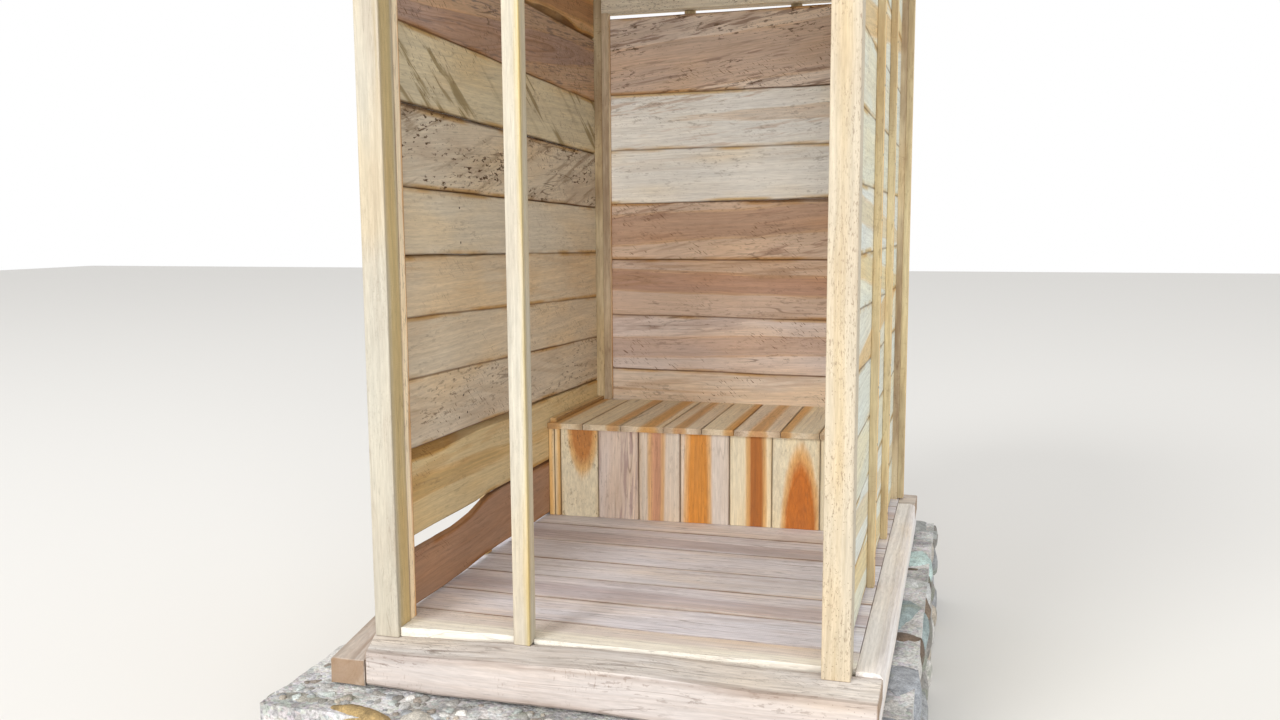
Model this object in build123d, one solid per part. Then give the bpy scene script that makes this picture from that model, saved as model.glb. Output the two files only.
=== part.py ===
from build123d import *
import math
import os

# Small plank hut on a rubble stone plinth, in millimetres.
# Hut frame while modelling: x = 0 at the outer face of the left posts, y = 0 at the front face
# of the front posts (y grows to the back), z = 0 at the top of the floor boards.
# Every piece is moved by PART_ORIGIN when it is written, so that the part's origin is the
# middle of the plinth's underside.

# Overall frame
HUT_WIDTH = 1200.0
HUT_DEPTH = 1742.0
POST = 66.0
BACK_EAVES = 1868.0
ROOF_PITCH = 5.0

# Sills and floor
SILL_HEIGHT = 115.0
SILL_WIDTH = 150.0
SIDE_SILL_WIDTH = 130.0
FRONT_LEDGE = 104.0
SIDE_LEDGE = 69.0
BACK_LEDGE = 34.0
LAP_DEPTH = 58.0
LAP_STOP = 45.0
FLOOR_THICK = 24.0
FLOOR_SIDE_GAP = 1.0
FLOOR_REACH = 7.0
BOARD_GAP = 1.5
FIT = 0.5

# Wall build-up, counted from the outer face of the posts inwards
OUTER_BATTEN = 21.0
PLANK_THICK = 15.0
INNER_BATTEN = POST - OUTER_BATTEN - PLANK_THICK
INNER_BATTEN_WIDTH = 34.0
OUTER_BATTEN_WIDTH = 40.0
CORNER_BATTEN = 22.0
CORNER_BATTEN_WIDTH = 42.0
BACK_INNER_BATTEN_WIDTH = 27.0
ROW_GAP = 1.0
WALL_FOOT = 6.0

# Door frame
STUD_LEFT = 381.0
STUD_WIDTH = 43.0
STUD_DEPTH = 42.0
STUD_SETBACK = 2.0

# Bench across the back
BENCH_TOP = 330.0
BENCH_DEPTH = 569.0
BENCH_SKEW = 55.0
BENCH_BOARD = 18.0
BENCH_TOP_BOARD = 20.0
BENCH_NOSING = 12.0
BENCH_STRIP = 22.0
BENCH_RAIL = 40.0
BENCH_WALL_BATTEN_WIDTH = 28.0
BENCH_WALL_BATTEN = 14.0

# Roof
RAIL_HEIGHT = 60.0
PLATE_HEIGHT = 50.0
PURLIN = 45.0
PURLIN_COUNT = 3
ROOF_BOARD = 20.0
ROOF_BOARD_COUNT = 8
ROOF_BATTEN = 15.0
ROOF_BATTEN_WIDTH = 45.0
ROOF_SIDE = 100.0
ROOF_FRONT = 150.0
ROOF_BACK = 90.0

# Plinth
PLINTH_HEIGHT = 300.0
PLINTH_LEFT = 130.0
PLINTH_RIGHT = 85.0
PLINTH_FRONT = 160.0
PLINTH_BACK = 75.0
PLINTH_BATTER = 12.0
PLINTH_CORNER = 45.0

# Heights of the seams between plank rows: at the front (or left) end and at the back (or right)
LEFT_SEAMS = [(196, 190), (434, 410), (619, 578), (781, 734), (944, 906), (1116, 1079),
              (1333, 1287), (1532, 1481), (1747, 1710), (1928, 1894)]
RIGHT_SEAMS = [(168, 160), (330, 318), (496, 480), (662, 630), (813, 784), (943, 935),
               (1109, 1108), (1290, 1284), (1476, 1470), (1668, 1655), (1850, 1838)]
BACK_SEAMS = [(52, 48), (246, 240), (452, 443), (664, 655), (879, 881), (1093, 1111),
              (1296, 1307), (1505, 1514)]
BACK_WALL_SLIT = (18.0, 8.0)

# Seams that stand open: number of the seam from the floor, and its gap at the two ends
LEFT_OPEN_SEAMS = {1: (4.0, 1.0)}
BACK_OPEN_SEAMS = {5: (1.0, 3.0)}

# Natural edges of the lowest plank on the left: share of the wall's length from the front, with
# the upper edge's drop below its seam and the lower edge's rise over the wall's foot
FOOT_PLANK_UPPER = [(0.0, 36.0), (0.13, 38.0), (0.2, 37.0), (0.277, 26.0), (0.313, 14.0),
                    (0.345, 3.0)]
FOOT_PLANK_LOWER = [(0.25, 0.0), (0.39, 9.0), (0.53, 0.0)]

# Widths of the floor boards from the front, and seams of the bench boards as shares of its length
FLOOR_WIDTHS = [158, 162, 148, 176, 168, 160, 172, 166, 158]
BENCH_FRONT_SEAMS = [0.160, 0.288, 0.417, 0.567, 0.694, 0.835]
BENCH_TOP_SEAMS = [0.114, 0.234, 0.367, 0.485, 0.582, 0.720, 0.833, 0.926]

# Upright battens outside the side walls, as shares of the hut's depth
OUTER_BATTEN_PLACES = [0.3668, 0.6527]

# Hewn top of the front sill: share of the hut's width, and height against the floor
SILL_CROWN = [(0.467, -4.0), (0.617, -4.0), (0.833, -12.0)]

# Waney front edge of the floor: share of the hut's width, and distance behind the posts' face
FLOOR_WANE = [(0.055, 11.0), (0.275, 34.0), (0.367, 27.0), (0.575, 36.0), (0.858, 52.0)]
FLOOR_WANE_ENDS = (10.0, 44.0)

SILL_BOTTOM = -SILL_HEIGHT
LAP_LEVEL = SILL_BOTTOM + LAP_DEPTH
REBATE = -FLOOR_THICK
SEAT_LEFT = -FLOOR_THICK
SEAT_RIGHT = -10.0
SEAT_STUD = -9.0
LEFT_SILL_TIP = -48.0
LEFT_SILL_SLOPE = 305.0

SILL_LEFT = -SIDE_LEDGE
SILL_RIGHT = HUT_WIDTH + SIDE_LEDGE
SILL_FRONT = -FRONT_LEDGE
SILL_BACK = HUT_DEPTH + BACK_LEDGE
FRONT_SILL_REAR = SILL_FRONT + SILL_WIDTH
BACK_SILL_FACE = SILL_BACK - SILL_WIDTH
LEFT_SILL_INNER = SILL_LEFT + SIDE_SILL_WIDTH
RIGHT_SILL_INNER = SILL_RIGHT - SIDE_SILL_WIDTH
FLOOR_LEFT = -FLOOR_REACH
FLOOR_RIGHT = HUT_WIDTH + FLOOR_REACH
BACK_POST_FACE = HUT_DEPTH - POST
RIGHT_POST_FACE = HUT_WIDTH - POST
WALL_START = POST
WALL_END = BACK_POST_FACE
BACK_PLANK_FACE = BACK_POST_FACE + INNER_BATTEN
BENCH_LEFT = OUTER_BATTEN + PLANK_THICK
BENCH_RIGHT = HUT_WIDTH - OUTER_BATTEN - PLANK_THICK
BENCH_REAR = BACK_PLANK_FACE
RAIL_BOTTOM = BACK_EAVES - RAIL_HEIGHT
SLOPE = math.tan(math.radians(ROOF_PITCH))

PLINTH_X0 = SILL_LEFT - PLINTH_LEFT
PLINTH_X1 = SILL_RIGHT + PLINTH_RIGHT
PLINTH_Y0 = SILL_FRONT - PLINTH_FRONT
PLINTH_Y1 = SILL_BACK + PLINTH_BACK
PLINTH_MIDDLE = ((PLINTH_X0 + PLINTH_X1) / 2, (PLINTH_Y0 + PLINTH_Y1) / 2)
PART_ORIGIN = (-PLINTH_MIDDLE[0], -PLINTH_MIDDLE[1], SILL_HEIGHT + PLINTH_HEIGHT)


def block(x0, x1, y0, y1, z0, z1):
    """A straight timber between two corners."""
    return Pos((x0 + x1) / 2, (y0 + y1) / 2, (z0 + z1) / 2) * Box(x1 - x0, y1 - y0, z1 - z0)


def side_profile(points, x0, x1):
    """A piece cut to a (y, z) outline and running across from x0 to x1."""
    face = make_face(Polyline(*[(x0, y, z) for y, z in points], close=True))
    return extrude(face, amount=x1 - x0, dir=(1, 0, 0))


def front_profile(points, y0, y1):
    """A piece cut to an (x, z) outline and running back from y0 to y1."""
    face = make_face(Polyline(*[(x, y0, z) for x, z in points], close=True))
    return extrude(face, amount=y1 - y0, dir=(0, 1, 0))


def plan_profile(points, z0, z1):
    """A piece cut to an (x, y) outline between two heights."""
    face = make_face(Polyline(*[(x, y, z0) for x, y in points], close=True))
    return extrude(face, amount=z1 - z0, dir=(0, 0, 1))


def eaves(y):
    """Underside of the sloping side plates at depth y."""
    return BACK_EAVES + (HUT_DEPTH - y) * SLOPE


def stone_plinth():
    """Battered masonry base with blunt corners that carries the sills."""
    z0 = SILL_BOTTOM - PLINTH_HEIGHT
    width = PLINTH_X1 - PLINTH_X0
    depth = PLINTH_Y1 - PLINTH_Y0
    foot = Plane((*PLINTH_MIDDLE, z0)) * Rectangle(width, depth)
    head = Plane((*PLINTH_MIDDLE, SILL_BOTTOM)) * Rectangle(
        width - 2 * PLINTH_BATTER, depth - 2 * PLINTH_BATTER)
    mass = loft([foot.face(), head.face()])
    corners = mass.edges().filter_by(Axis.Z, reverse=True)
    uprights = [e for e in corners if abs(e.bounding_box().size.Z - PLINTH_HEIGHT) < 1.0]
    return chamfer(uprights, PLINTH_CORNER)


def rebate_line():
    """Front edge of the rebate in the front sill, which drifts back to the right."""
    return [(FLOOR_LEFT, 4.0), (FLOOR_RIGHT, 40.0)]


def skew_x(y):
    """Left end of the front sill, which is cut off square to nothing in particular."""
    share = (y - SILL_FRONT) / SILL_WIDTH
    return 30.0 - 50.0 * share


def front_sill():
    """Full-width sill with a hewn top, a rebate for the floor and a stopped lap on the right."""
    top = [(-40.0, SEAT_LEFT), (POST + 24.0, SEAT_LEFT), (STUD_LEFT - 10.0, SEAT_STUD),
           (STUD_LEFT + STUD_WIDTH + 10.0, SEAT_STUD)]
    top += [(share * HUT_WIDTH, z) for share, z in SILL_CROWN]
    top += [(RIGHT_POST_FACE - 30.0, SEAT_RIGHT), (SILL_RIGHT, SEAT_RIGHT)]
    outline = top + [(SILL_RIGHT, SILL_BOTTOM), (-40.0, SILL_BOTTOM)]
    sill = front_profile(outline, SILL_FRONT, FRONT_SILL_REAR)
    (ax, ay), (bx, by) = rebate_line()
    rear = FRONT_SILL_REAR + 1.0
    rebate = plan_profile([(ax - 60.0, ay), (bx, by), (bx, rear), (ax - 60.0, rear)], REBATE, 40.0)
    waste = plan_profile([(-60.0, SILL_FRONT - 1.0), (skew_x(SILL_FRONT - 1.0), SILL_FRONT - 1.0),
                          (skew_x(rear), rear), (-60.0, rear)], SILL_BOTTOM - 1.0, 1.0)
    lap = block(RIGHT_SILL_INNER, SILL_RIGHT + 1.0, SILL_FRONT + LAP_STOP, rear,
                SILL_BOTTOM - 1.0, LAP_LEVEL)
    return sill - rebate - waste - lap


def side_sill_bar(x0, x1, rebate_x0, rebate_x1):
    """Side sill between the front and back sills, rebated for the board ends."""
    bar = block(x0, x1, FRONT_SILL_REAR + FIT, BACK_SILL_FACE - FIT, SILL_BOTTOM, 0.0)
    return bar - block(rebate_x0, rebate_x1, FRONT_SILL_REAR, BACK_SILL_FACE, REBATE, 1.0)


def back_tongue(x0, x1):
    """Half-lap tongue of a side sill below the back sill."""
    return block(x0, x1, BACK_SILL_FACE - FIT, SILL_BACK, SILL_BOTTOM, LAP_LEVEL - FIT)


def right_sill():
    bar = side_sill_bar(RIGHT_SILL_INNER, SILL_RIGHT, RIGHT_SILL_INNER - 1.0, FLOOR_RIGHT)
    tongue = block(RIGHT_SILL_INNER + FIT, SILL_RIGHT, SILL_FRONT + LAP_STOP + FIT,
                   FRONT_SILL_REAR + FIT, SILL_BOTTOM, LAP_LEVEL - FIT)
    return bar + tongue + back_tongue(RIGHT_SILL_INNER, SILL_RIGHT)


def left_sill():
    """Left sill: its front end is hewn down and shows past the end of the front sill."""
    bar = side_sill_bar(SILL_LEFT, LEFT_SILL_INNER, FLOOR_LEFT, LEFT_SILL_INNER + 1.0)
    rear = FRONT_SILL_REAR + FIT
    tip = plan_profile([(SILL_LEFT, SILL_FRONT), (skew_x(SILL_FRONT) - 2.0, SILL_FRONT),
                        (skew_x(rear) - 2.0, rear), (SILL_LEFT, rear)], SILL_BOTTOM, 0.0)
    slope_end = SILL_FRONT + LEFT_SILL_SLOPE
    hewn = side_profile([(SILL_FRONT - 1.0, 1.0), (SILL_FRONT - 1.0, LEFT_SILL_TIP),
                         (slope_end, 0.0), (slope_end, 1.0)], SILL_LEFT - 1.0, FLOOR_LEFT)
    return bar + tip + back_tongue(SILL_LEFT, LEFT_SILL_INNER) - hewn


def back_sill():
    sill = block(SILL_LEFT, SILL_RIGHT, BACK_SILL_FACE, SILL_BACK, SILL_BOTTOM, 0.0)
    rebate = block(FLOOR_LEFT, FLOOR_RIGHT, BACK_SILL_FACE - 1.0, HUT_DEPTH + 1.0, REBATE, 1.0)
    laps = [block(SILL_LEFT - 1.0, LEFT_SILL_INNER + FIT, BACK_SILL_FACE - 1.0, SILL_BACK + 1.0,
                  SILL_BOTTOM - 1.0, LAP_LEVEL),
            block(RIGHT_SILL_INNER - FIT, SILL_RIGHT + 1.0, BACK_SILL_FACE - 1.0, SILL_BACK + 1.0,
                  SILL_BOTTOM - 1.0, LAP_LEVEL)]
    return sill - rebate - laps[0] - laps[1]


def front_floor_board(depth_end):
    """First floor board: a waney front edge, cut round the posts and the stud."""
    left = (FLOOR_LEFT, FLOOR_WANE_ENDS[0], 0.0)
    right = (FLOOR_RIGHT, FLOOR_WANE_ENDS[1], 0.0)
    wane = Spline(left, *[(share * HUT_WIDTH, y, 0.0) for share, y in FLOOR_WANE], right)
    sides = Polyline(right, (FLOOR_RIGHT, depth_end, 0.0), (FLOOR_LEFT, depth_end, 0.0), left)
    board = extrude(make_face(wane + sides), amount=FLOOR_THICK, dir=(0, 0, -1))
    gap = FLOOR_SIDE_GAP
    stud_rear = STUD_SETBACK + STUD_DEPTH + gap
    board -= block(FLOOR_LEFT - 1.0, POST + gap, -1.0, POST + gap, REBATE - 1.0, 1.0)
    board -= block(RIGHT_POST_FACE - gap, FLOOR_RIGHT + 1.0, -1.0, POST + gap, REBATE - 1.0, 1.0)
    board -= block(STUD_LEFT - gap, STUD_LEFT + STUD_WIDTH + gap, -1.0, stud_rear,
                   REBATE - 1.0, 1.0)
    return board


def floor_boards():
    """Boards laid left to right in the sills' rebates."""
    first_end = FRONT_SILL_REAR + 110.0
    boards = [front_floor_board(first_end - BOARD_GAP)]
    reach = HUT_DEPTH - first_end
    total = sum(FLOOR_WIDTHS)
    y = first_end
    for width in FLOOR_WIDTHS:
        step = reach * width / total
        boards.append(block(FLOOR_LEFT + FLOOR_SIDE_GAP, FLOOR_RIGHT - FLOOR_SIDE_GAP,
                            y, y + step - BOARD_GAP, REBATE, 0.0))
        y += step
    return Compound(children=boards)


def corner_post(x0, y0, foot):
    """Square corner post whose head is cut to the roof's slope."""
    return side_profile([(y0, foot), (y0 + POST, foot), (y0 + POST, eaves(y0 + POST)),
                         (y0, eaves(y0))], x0, x0 + POST)


def door_stud():
    """Slim stud between the narrow bay and the doorway."""
    return block(STUD_LEFT, STUD_LEFT + STUD_WIDTH, STUD_SETBACK, STUD_SETBACK + STUD_DEPTH,
                 SEAT_STUD, front_rail_bottom())


def front_rail_bottom():
    return eaves(POST) - RAIL_HEIGHT


def seam_height(seam, start, end, at):
    """Height of a sloping seam at one place along the wall."""
    share = (at - start) / (end - start)
    return seam[0] + share * (seam[1] - seam[0])


def plank_rows(seams, start, end, bottom, top, open_seams={}):
    """Corners of each plank row: low start, low end, high end, high start.

    Each plank starts on its seam, and the one below stops short of it by the seam's gap."""
    rows = []
    for i, (low, high) in enumerate(zip([(bottom, bottom)] + seams, seams + [top])):
        gaps = open_seams.get(i, (ROW_GAP, ROW_GAP))
        rows.append([(start, low[0]), (end, low[1]), (end, high[1] - gaps[1]),
                     (start, high[0] - gaps[0])])
    return rows


def foot_plank(row, x0):
    """Lowest plank on the left, which keeps the log's wavy edges."""
    (start, foot), (end, _), (_, top_end), (_, top_start) = row
    run = end - start
    lower = Spline(*[(x0, start + share * run, foot + rise) for share, rise in FOOT_PLANK_LOWER],
                   tangents=[(0, 1, 0), (0, 1, 0)])
    upper = Spline(*[(x0, start + share * run, top_start + (top_end - top_start) * share - drop)
                     for share, drop in FOOT_PLANK_UPPER])
    rear = Polyline(lower @ 1, (x0, end, foot), (x0, end, top_end), upper @ 1)
    front = Polyline(upper @ 0, (x0, start, foot), lower @ 0)
    return extrude(make_face(lower + rear + upper + front), amount=PLANK_THICK, dir=(1, 0, 0))


def side_wall(seams, x0, open_seams={}, natural_foot=False):
    """Planks of a side wall, cut off along the underside of the sloping plate."""
    start = WALL_START + FIT
    end = WALL_END - FIT
    ceiling = side_profile([(start, 0.0), (end, 0.0), (end, eaves(end)), (start, eaves(start))],
                           x0 - 1.0, x0 + PLANK_THICK + 1.0)
    top = (eaves(start) + 60.0, eaves(end) + 60.0)
    rows = plank_rows(seams, start, end, WALL_FOOT, top, open_seams)
    planks = []
    for i, row in enumerate(rows):
        if i == 0 and natural_foot:
            plank = foot_plank(row, x0)
        else:
            plank = side_profile(row, x0, x0 + PLANK_THICK) & ceiling
        planks += [s for s in plank.solids()]
    return Compound(children=planks)


def back_wall():
    """Planks of the back wall, with a slit left below the top rail."""
    start = POST + FIT
    end = RIGHT_POST_FACE - FIT
    top = (RAIL_BOTTOM - BACK_WALL_SLIT[0], RAIL_BOTTOM - BACK_WALL_SLIT[1])
    rows = plank_rows(BACK_SEAMS, start, end, WALL_FOOT, top, BACK_OPEN_SEAMS)
    return Compound(children=[front_profile(r, BACK_PLANK_FACE, BACK_PLANK_FACE + PLANK_THICK)
                              for r in rows])


def side_batten(x0, x1, y0, width, foot=0.0):
    """Upright batten on a side wall, cut to the slope at its head."""
    return side_profile([(y0, foot), (y0 + width, foot), (y0 + width, eaves(y0 + width)),
                         (y0, eaves(y0))], x0, x1)


def both_sides(pieces, name, make, x0, x1):
    """Add a left piece and its twin at the same distance from the right."""
    pieces["left_" + name] = make(x0, x1)
    pieces["right_" + name] = make(HUT_WIDTH - x1, HUT_WIDTH - x0)


def bench_front_y(x):
    """Face of the bench's front boards, which is a little out of square."""
    share = (x - BENCH_LEFT) / (BENCH_RIGHT - BENCH_LEFT)
    return BENCH_REAR - BENCH_DEPTH + share * BENCH_SKEW


def bench_seams(shares):
    """Places of the seams along the bench."""
    return [BENCH_LEFT + share * (BENCH_RIGHT - BENCH_LEFT) for share in shares]


def bench_slab(x0, x1, front, rear, z0, z1):
    """Piece of the bench between two offsets behind its skewed face."""
    return plan_profile([(x0, bench_front_y(x0) + front), (x1, bench_front_y(x1) + front),
                         (x1, bench_front_y(x1) + rear), (x0, bench_front_y(x0) + rear)], z0, z1)


def bench_front_boards():
    """Upright boards between the end strips."""
    edges = [BENCH_LEFT + 2 * BENCH_STRIP, *bench_seams(BENCH_FRONT_SEAMS),
             BENCH_RIGHT - 2 * BENCH_STRIP]
    top = BENCH_TOP - BENCH_TOP_BOARD
    return Compound(children=[bench_slab(a + BOARD_GAP / 2, b - BOARD_GAP / 2, 0.0, BENCH_BOARD,
                                         0.0, top) for a, b in zip(edges, edges[1:])])


def bench_end_strips(x0):
    """Two upright strips that close the bench front against the wall."""
    top = BENCH_TOP - BENCH_TOP_BOARD
    middle = x0 + BENCH_STRIP
    return Compound(children=[
        bench_slab(x0, middle - BOARD_GAP / 2, -3.0, BENCH_BOARD, 0.0, top - 5.0),
        bench_slab(middle + BOARD_GAP / 2, middle + BENCH_STRIP, 0.0, BENCH_BOARD, 0.0, top)])


def bench_top_boards():
    """Seat boards that run front to back, the end ones cut round the back posts."""
    edges = [BENCH_LEFT, *bench_seams(BENCH_TOP_SEAMS), BENCH_RIGHT]
    low = BENCH_TOP - BENCH_TOP_BOARD
    boards = []
    for a, b in zip(edges, edges[1:]):
        left = a + BOARD_GAP / 2
        right = b - BOARD_GAP / 2
        boards.append(plan_profile([(left, bench_front_y(left) - BENCH_NOSING),
                                    (right, bench_front_y(right) - BENCH_NOSING),
                                    (right, BENCH_REAR), (left, BENCH_REAR)], low, BENCH_TOP))
    rear = BENCH_REAR + 1.0
    top = BENCH_TOP + 1.0
    boards[0] -= block(0.0, POST, BACK_POST_FACE, rear, low - 1.0, top)
    boards[-1] -= block(RIGHT_POST_FACE, HUT_WIDTH, BACK_POST_FACE, rear, low - 1.0, top)
    return Compound(children=boards)


def bench_front_rail():
    """Rail behind the front boards that carries the seat."""
    top = BENCH_TOP - BENCH_TOP_BOARD
    return bench_slab(BENCH_LEFT + FIT, BENCH_RIGHT - FIT, BENCH_BOARD, BENCH_BOARD + BENCH_RAIL,
                      top - BENCH_RAIL, top)


def bench_back_rail():
    """Ledger on the back wall that carries the seat."""
    top = BENCH_TOP - BENCH_TOP_BOARD
    return block(POST, RIGHT_POST_FACE, BACK_POST_FACE, BACK_PLANK_FACE, top - BENCH_RAIL, top)


def bench_wall_batten():
    """Low batten on the seat along the left wall."""
    y0 = bench_front_y(BENCH_LEFT) + 14.0
    return block(BENCH_LEFT, BENCH_LEFT + BENCH_WALL_BATTEN_WIDTH, y0, BACK_POST_FACE,
                 BENCH_TOP, BENCH_TOP + BENCH_WALL_BATTEN)


def sloping_bar(x0, x1, y0, y1, low, high):
    """Roof timber that lies along the slope, between two lifts above the eaves line."""
    return side_profile([(y0, eaves(y0) + low), (y1, eaves(y1) + low),
                         (y1, eaves(y1) + high), (y0, eaves(y0) + high)], x0, x1)


def side_plate(x0, x1):
    """Plate on the heads of the posts of one side, following the roof's slope."""
    return sloping_bar(x0, x1, -ROOF_FRONT + 40.0, HUT_DEPTH + ROOF_BACK - 30.0,
                       0.0, PLATE_HEIGHT)


def roof_purlin(index):
    """Cross timber on the side plates."""
    run = HUT_DEPTH - POST
    y0 = index * run / (PURLIN_COUNT - 1) + (POST - PURLIN) / 2
    return sloping_bar(-ROOF_SIDE + 20.0, HUT_WIDTH + ROOF_SIDE - 20.0, y0, y0 + PURLIN,
                       PLATE_HEIGHT, PLATE_HEIGHT + PURLIN)


def roof_edges():
    """Left edges of the roof boards, and the right edge of the last one."""
    width = (HUT_WIDTH + 2 * ROOF_SIDE) / ROOF_BOARD_COUNT
    return [-ROOF_SIDE + i * width for i in range(ROOF_BOARD_COUNT + 1)]


def roof_boards():
    """Boards that run down the slope."""
    low = PLATE_HEIGHT + PURLIN
    edges = roof_edges()
    return Compound(children=[sloping_bar(a + BOARD_GAP, b - BOARD_GAP, -ROOF_FRONT,
                                          HUT_DEPTH + ROOF_BACK, low, low + ROOF_BOARD)
                              for a, b in zip(edges, edges[1:])])


def roof_battens():
    """Battens over the joints of the roof boards."""
    low = PLATE_HEIGHT + PURLIN + ROOF_BOARD
    half = ROOF_BATTEN_WIDTH / 2
    return Compound(children=[sloping_bar(x - half, x + half, -ROOF_FRONT,
                                          HUT_DEPTH + ROOF_BACK, low, low + ROOF_BATTEN)
                              for x in roof_edges()[1:-1]])


def walls():
    """Planks and battens of the three closed sides."""
    right_inner = HUT_WIDTH - OUTER_BATTEN - PLANK_THICK
    pieces = {
        "left_wall_planks": side_wall(LEFT_SEAMS, OUTER_BATTEN, LEFT_OPEN_SEAMS, True),
        "right_wall_planks": side_wall(RIGHT_SEAMS, right_inner),
        "back_wall_planks": back_wall(),
    }
    both_sides(pieces, "front_inner_batten",
               lambda a, b: side_batten(a, b, POST, INNER_BATTEN_WIDTH), BENCH_LEFT, POST)
    both_sides(pieces, "corner_batten",
               lambda a, b: side_batten(a, b, BACK_POST_FACE + 5.0, CORNER_BATTEN_WIDTH, 4.0),
               -CORNER_BATTEN, 0.0)
    both_sides(pieces, "back_inner_batten",
               lambda a, b: block(a, b, BACK_POST_FACE, BACK_PLANK_FACE, BENCH_TOP, RAIL_BOTTOM),
               POST, POST + BACK_INNER_BATTEN_WIDTH)
    for place, y0 in zip(("front", "rear"), [s * HUT_DEPTH for s in OUTER_BATTEN_PLACES]):
        both_sides(pieces, "outer_batten_" + place,
                   lambda a, b: side_batten(a, b, y0, OUTER_BATTEN_WIDTH), 0.0, OUTER_BATTEN)
    rear = BACK_PLANK_FACE + PLANK_THICK
    third = HUT_WIDTH / 3
    both_sides(pieces, "back_outer_batten",
               lambda a, b: block(a, b, rear, HUT_DEPTH, 0.0, RAIL_BOTTOM),
               third - OUTER_BATTEN_WIDTH / 2, third + OUTER_BATTEN_WIDTH / 2)
    return pieces


def frame():
    """Sills, floor, posts, rails and plates."""
    pieces = {
        "stone_plinth": stone_plinth(),
        "front_sill": front_sill(),
        "left_sill": left_sill(),
        "right_sill": right_sill(),
        "back_sill": back_sill(),
        "floor_boards": floor_boards(),
        "front_left_post": corner_post(0.0, 0.0, SEAT_LEFT),
        "front_right_post": corner_post(RIGHT_POST_FACE, 0.0, SEAT_RIGHT),
        "back_left_post": corner_post(0.0, BACK_POST_FACE, 0.0),
        "back_right_post": corner_post(RIGHT_POST_FACE, BACK_POST_FACE, 0.0),
        "door_stud": door_stud(),
        "front_top_rail": block(POST, RIGHT_POST_FACE, 0.0, POST, front_rail_bottom(),
                                eaves(POST)),
        "back_top_rail": block(POST, RIGHT_POST_FACE, BACK_POST_FACE, HUT_DEPTH, RAIL_BOTTOM,
                               BACK_EAVES),
    }
    both_sides(pieces, "top_plate", side_plate, 0.0, POST)
    return pieces


def bench():
    return {
        "bench_front_boards": bench_front_boards(),
        "bench_top_boards": bench_top_boards(),
        "bench_strips_left": bench_end_strips(BENCH_LEFT),
        "bench_strips_right": bench_end_strips(BENCH_RIGHT - 2 * BENCH_STRIP),
        "bench_front_rail": bench_front_rail(),
        "bench_back_rail": bench_back_rail(),
        "bench_wall_batten": bench_wall_batten(),
    }


def roof():
    pieces = {"roof_purlin_%d" % (i + 1): roof_purlin(i) for i in range(PURLIN_COUNT)}
    pieces["roof_boards"] = roof_boards()
    pieces["roof_battens"] = roof_battens()
    return pieces


def main():
    os.makedirs("parts", exist_ok=True)
    pieces = {**frame(), **walls(), **bench(), **roof()}
    for node, shape in pieces.items():
        export_step(Pos(*PART_ORIGIN) * shape, "parts/" + node + ".step")


main()
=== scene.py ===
"""Plank hut on a rubble plinth: sawn boards, hewn sills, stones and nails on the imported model."""
import math
import random
from collections import namedtuple

import bpy
from bpy.props import FloatProperty, FloatVectorProperty, IntProperty, PointerProperty
from mathutils import Matrix, Vector, noise


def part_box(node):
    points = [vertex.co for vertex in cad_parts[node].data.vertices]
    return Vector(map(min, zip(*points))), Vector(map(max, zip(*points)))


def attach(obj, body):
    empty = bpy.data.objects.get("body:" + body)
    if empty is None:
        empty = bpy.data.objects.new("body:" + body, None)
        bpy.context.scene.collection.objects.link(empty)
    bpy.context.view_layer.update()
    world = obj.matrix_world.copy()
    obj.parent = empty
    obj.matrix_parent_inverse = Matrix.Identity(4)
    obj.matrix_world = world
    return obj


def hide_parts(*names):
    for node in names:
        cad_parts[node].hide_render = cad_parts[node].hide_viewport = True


bl_info = {
    "name": "Plank hut",
    "version": (1, 0, 0),
    "blender": (4, 5, 0),
    "location": "3D View > Sidebar > Hut",
    "description": "Builds the boards, stones and nails of a small plank hut",
    "category": "Object",
}

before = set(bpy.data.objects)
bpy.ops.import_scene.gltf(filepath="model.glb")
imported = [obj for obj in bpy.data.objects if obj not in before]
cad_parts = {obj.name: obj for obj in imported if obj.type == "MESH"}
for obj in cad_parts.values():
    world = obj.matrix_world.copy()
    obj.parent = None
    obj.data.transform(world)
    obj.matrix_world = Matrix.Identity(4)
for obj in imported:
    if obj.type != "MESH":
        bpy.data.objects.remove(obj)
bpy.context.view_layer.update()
BODY = "root"

# The hut's own corner: left face and front face of the front left post, top of the floor
HUT = Vector((*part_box("front_left_post")[0][:2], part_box("floor_boards")[1][2]))
X_AXIS, Y_AXIS, Z_AXIS = Vector((1, 0, 0)), Vector((0, 1, 0)), Vector((0, 0, 1))
MM = 1000.0  # millimetres in a metre

# Millimetres, as in the drawing; FIT is the clearance at a lap
WIDTH, DEPTH, POST = 1200.0, 1742.0, 66.0
OUTER_BATTEN, PLANK, BOARD, FIT = 21.0, 15.0, 24.0, 0.5
BACK_POST_FACE = DEPTH - POST
BACK_EAVES, PITCH = 1868.0, math.radians(5.0)
SLOPE, COS, SIN = math.tan(PITCH), math.cos(PITCH), math.sin(PITCH)
DOWN = Vector((0.0, COS, -SIN))

# Seams between the plank rows from the floor up: height at the front (or left) end and at the
# back (or right) end
LEFT_SEAMS = [(196, 190), (434, 410), (619, 578), (781, 734), (944, 906), (1116, 1079),
              (1333, 1287), (1532, 1481), (1747, 1710), (1928, 1894)]
RIGHT_SEAMS = [(168, 160), (330, 318), (496, 480), (662, 630), (813, 784), (943, 935),
               (1109, 1108), (1290, 1284), (1476, 1470), (1668, 1655), (1850, 1838)]
BACK_SEAMS = [(52, 48), (246, 240), (452, 443), (664, 655), (879, 881), (1093, 1111),
              (1296, 1307), (1505, 1514)]


def at(x, y, z):
    """A place given in millimetres from the hut's corner."""
    return HUT + Vector((x, y, z)) / MM


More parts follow.
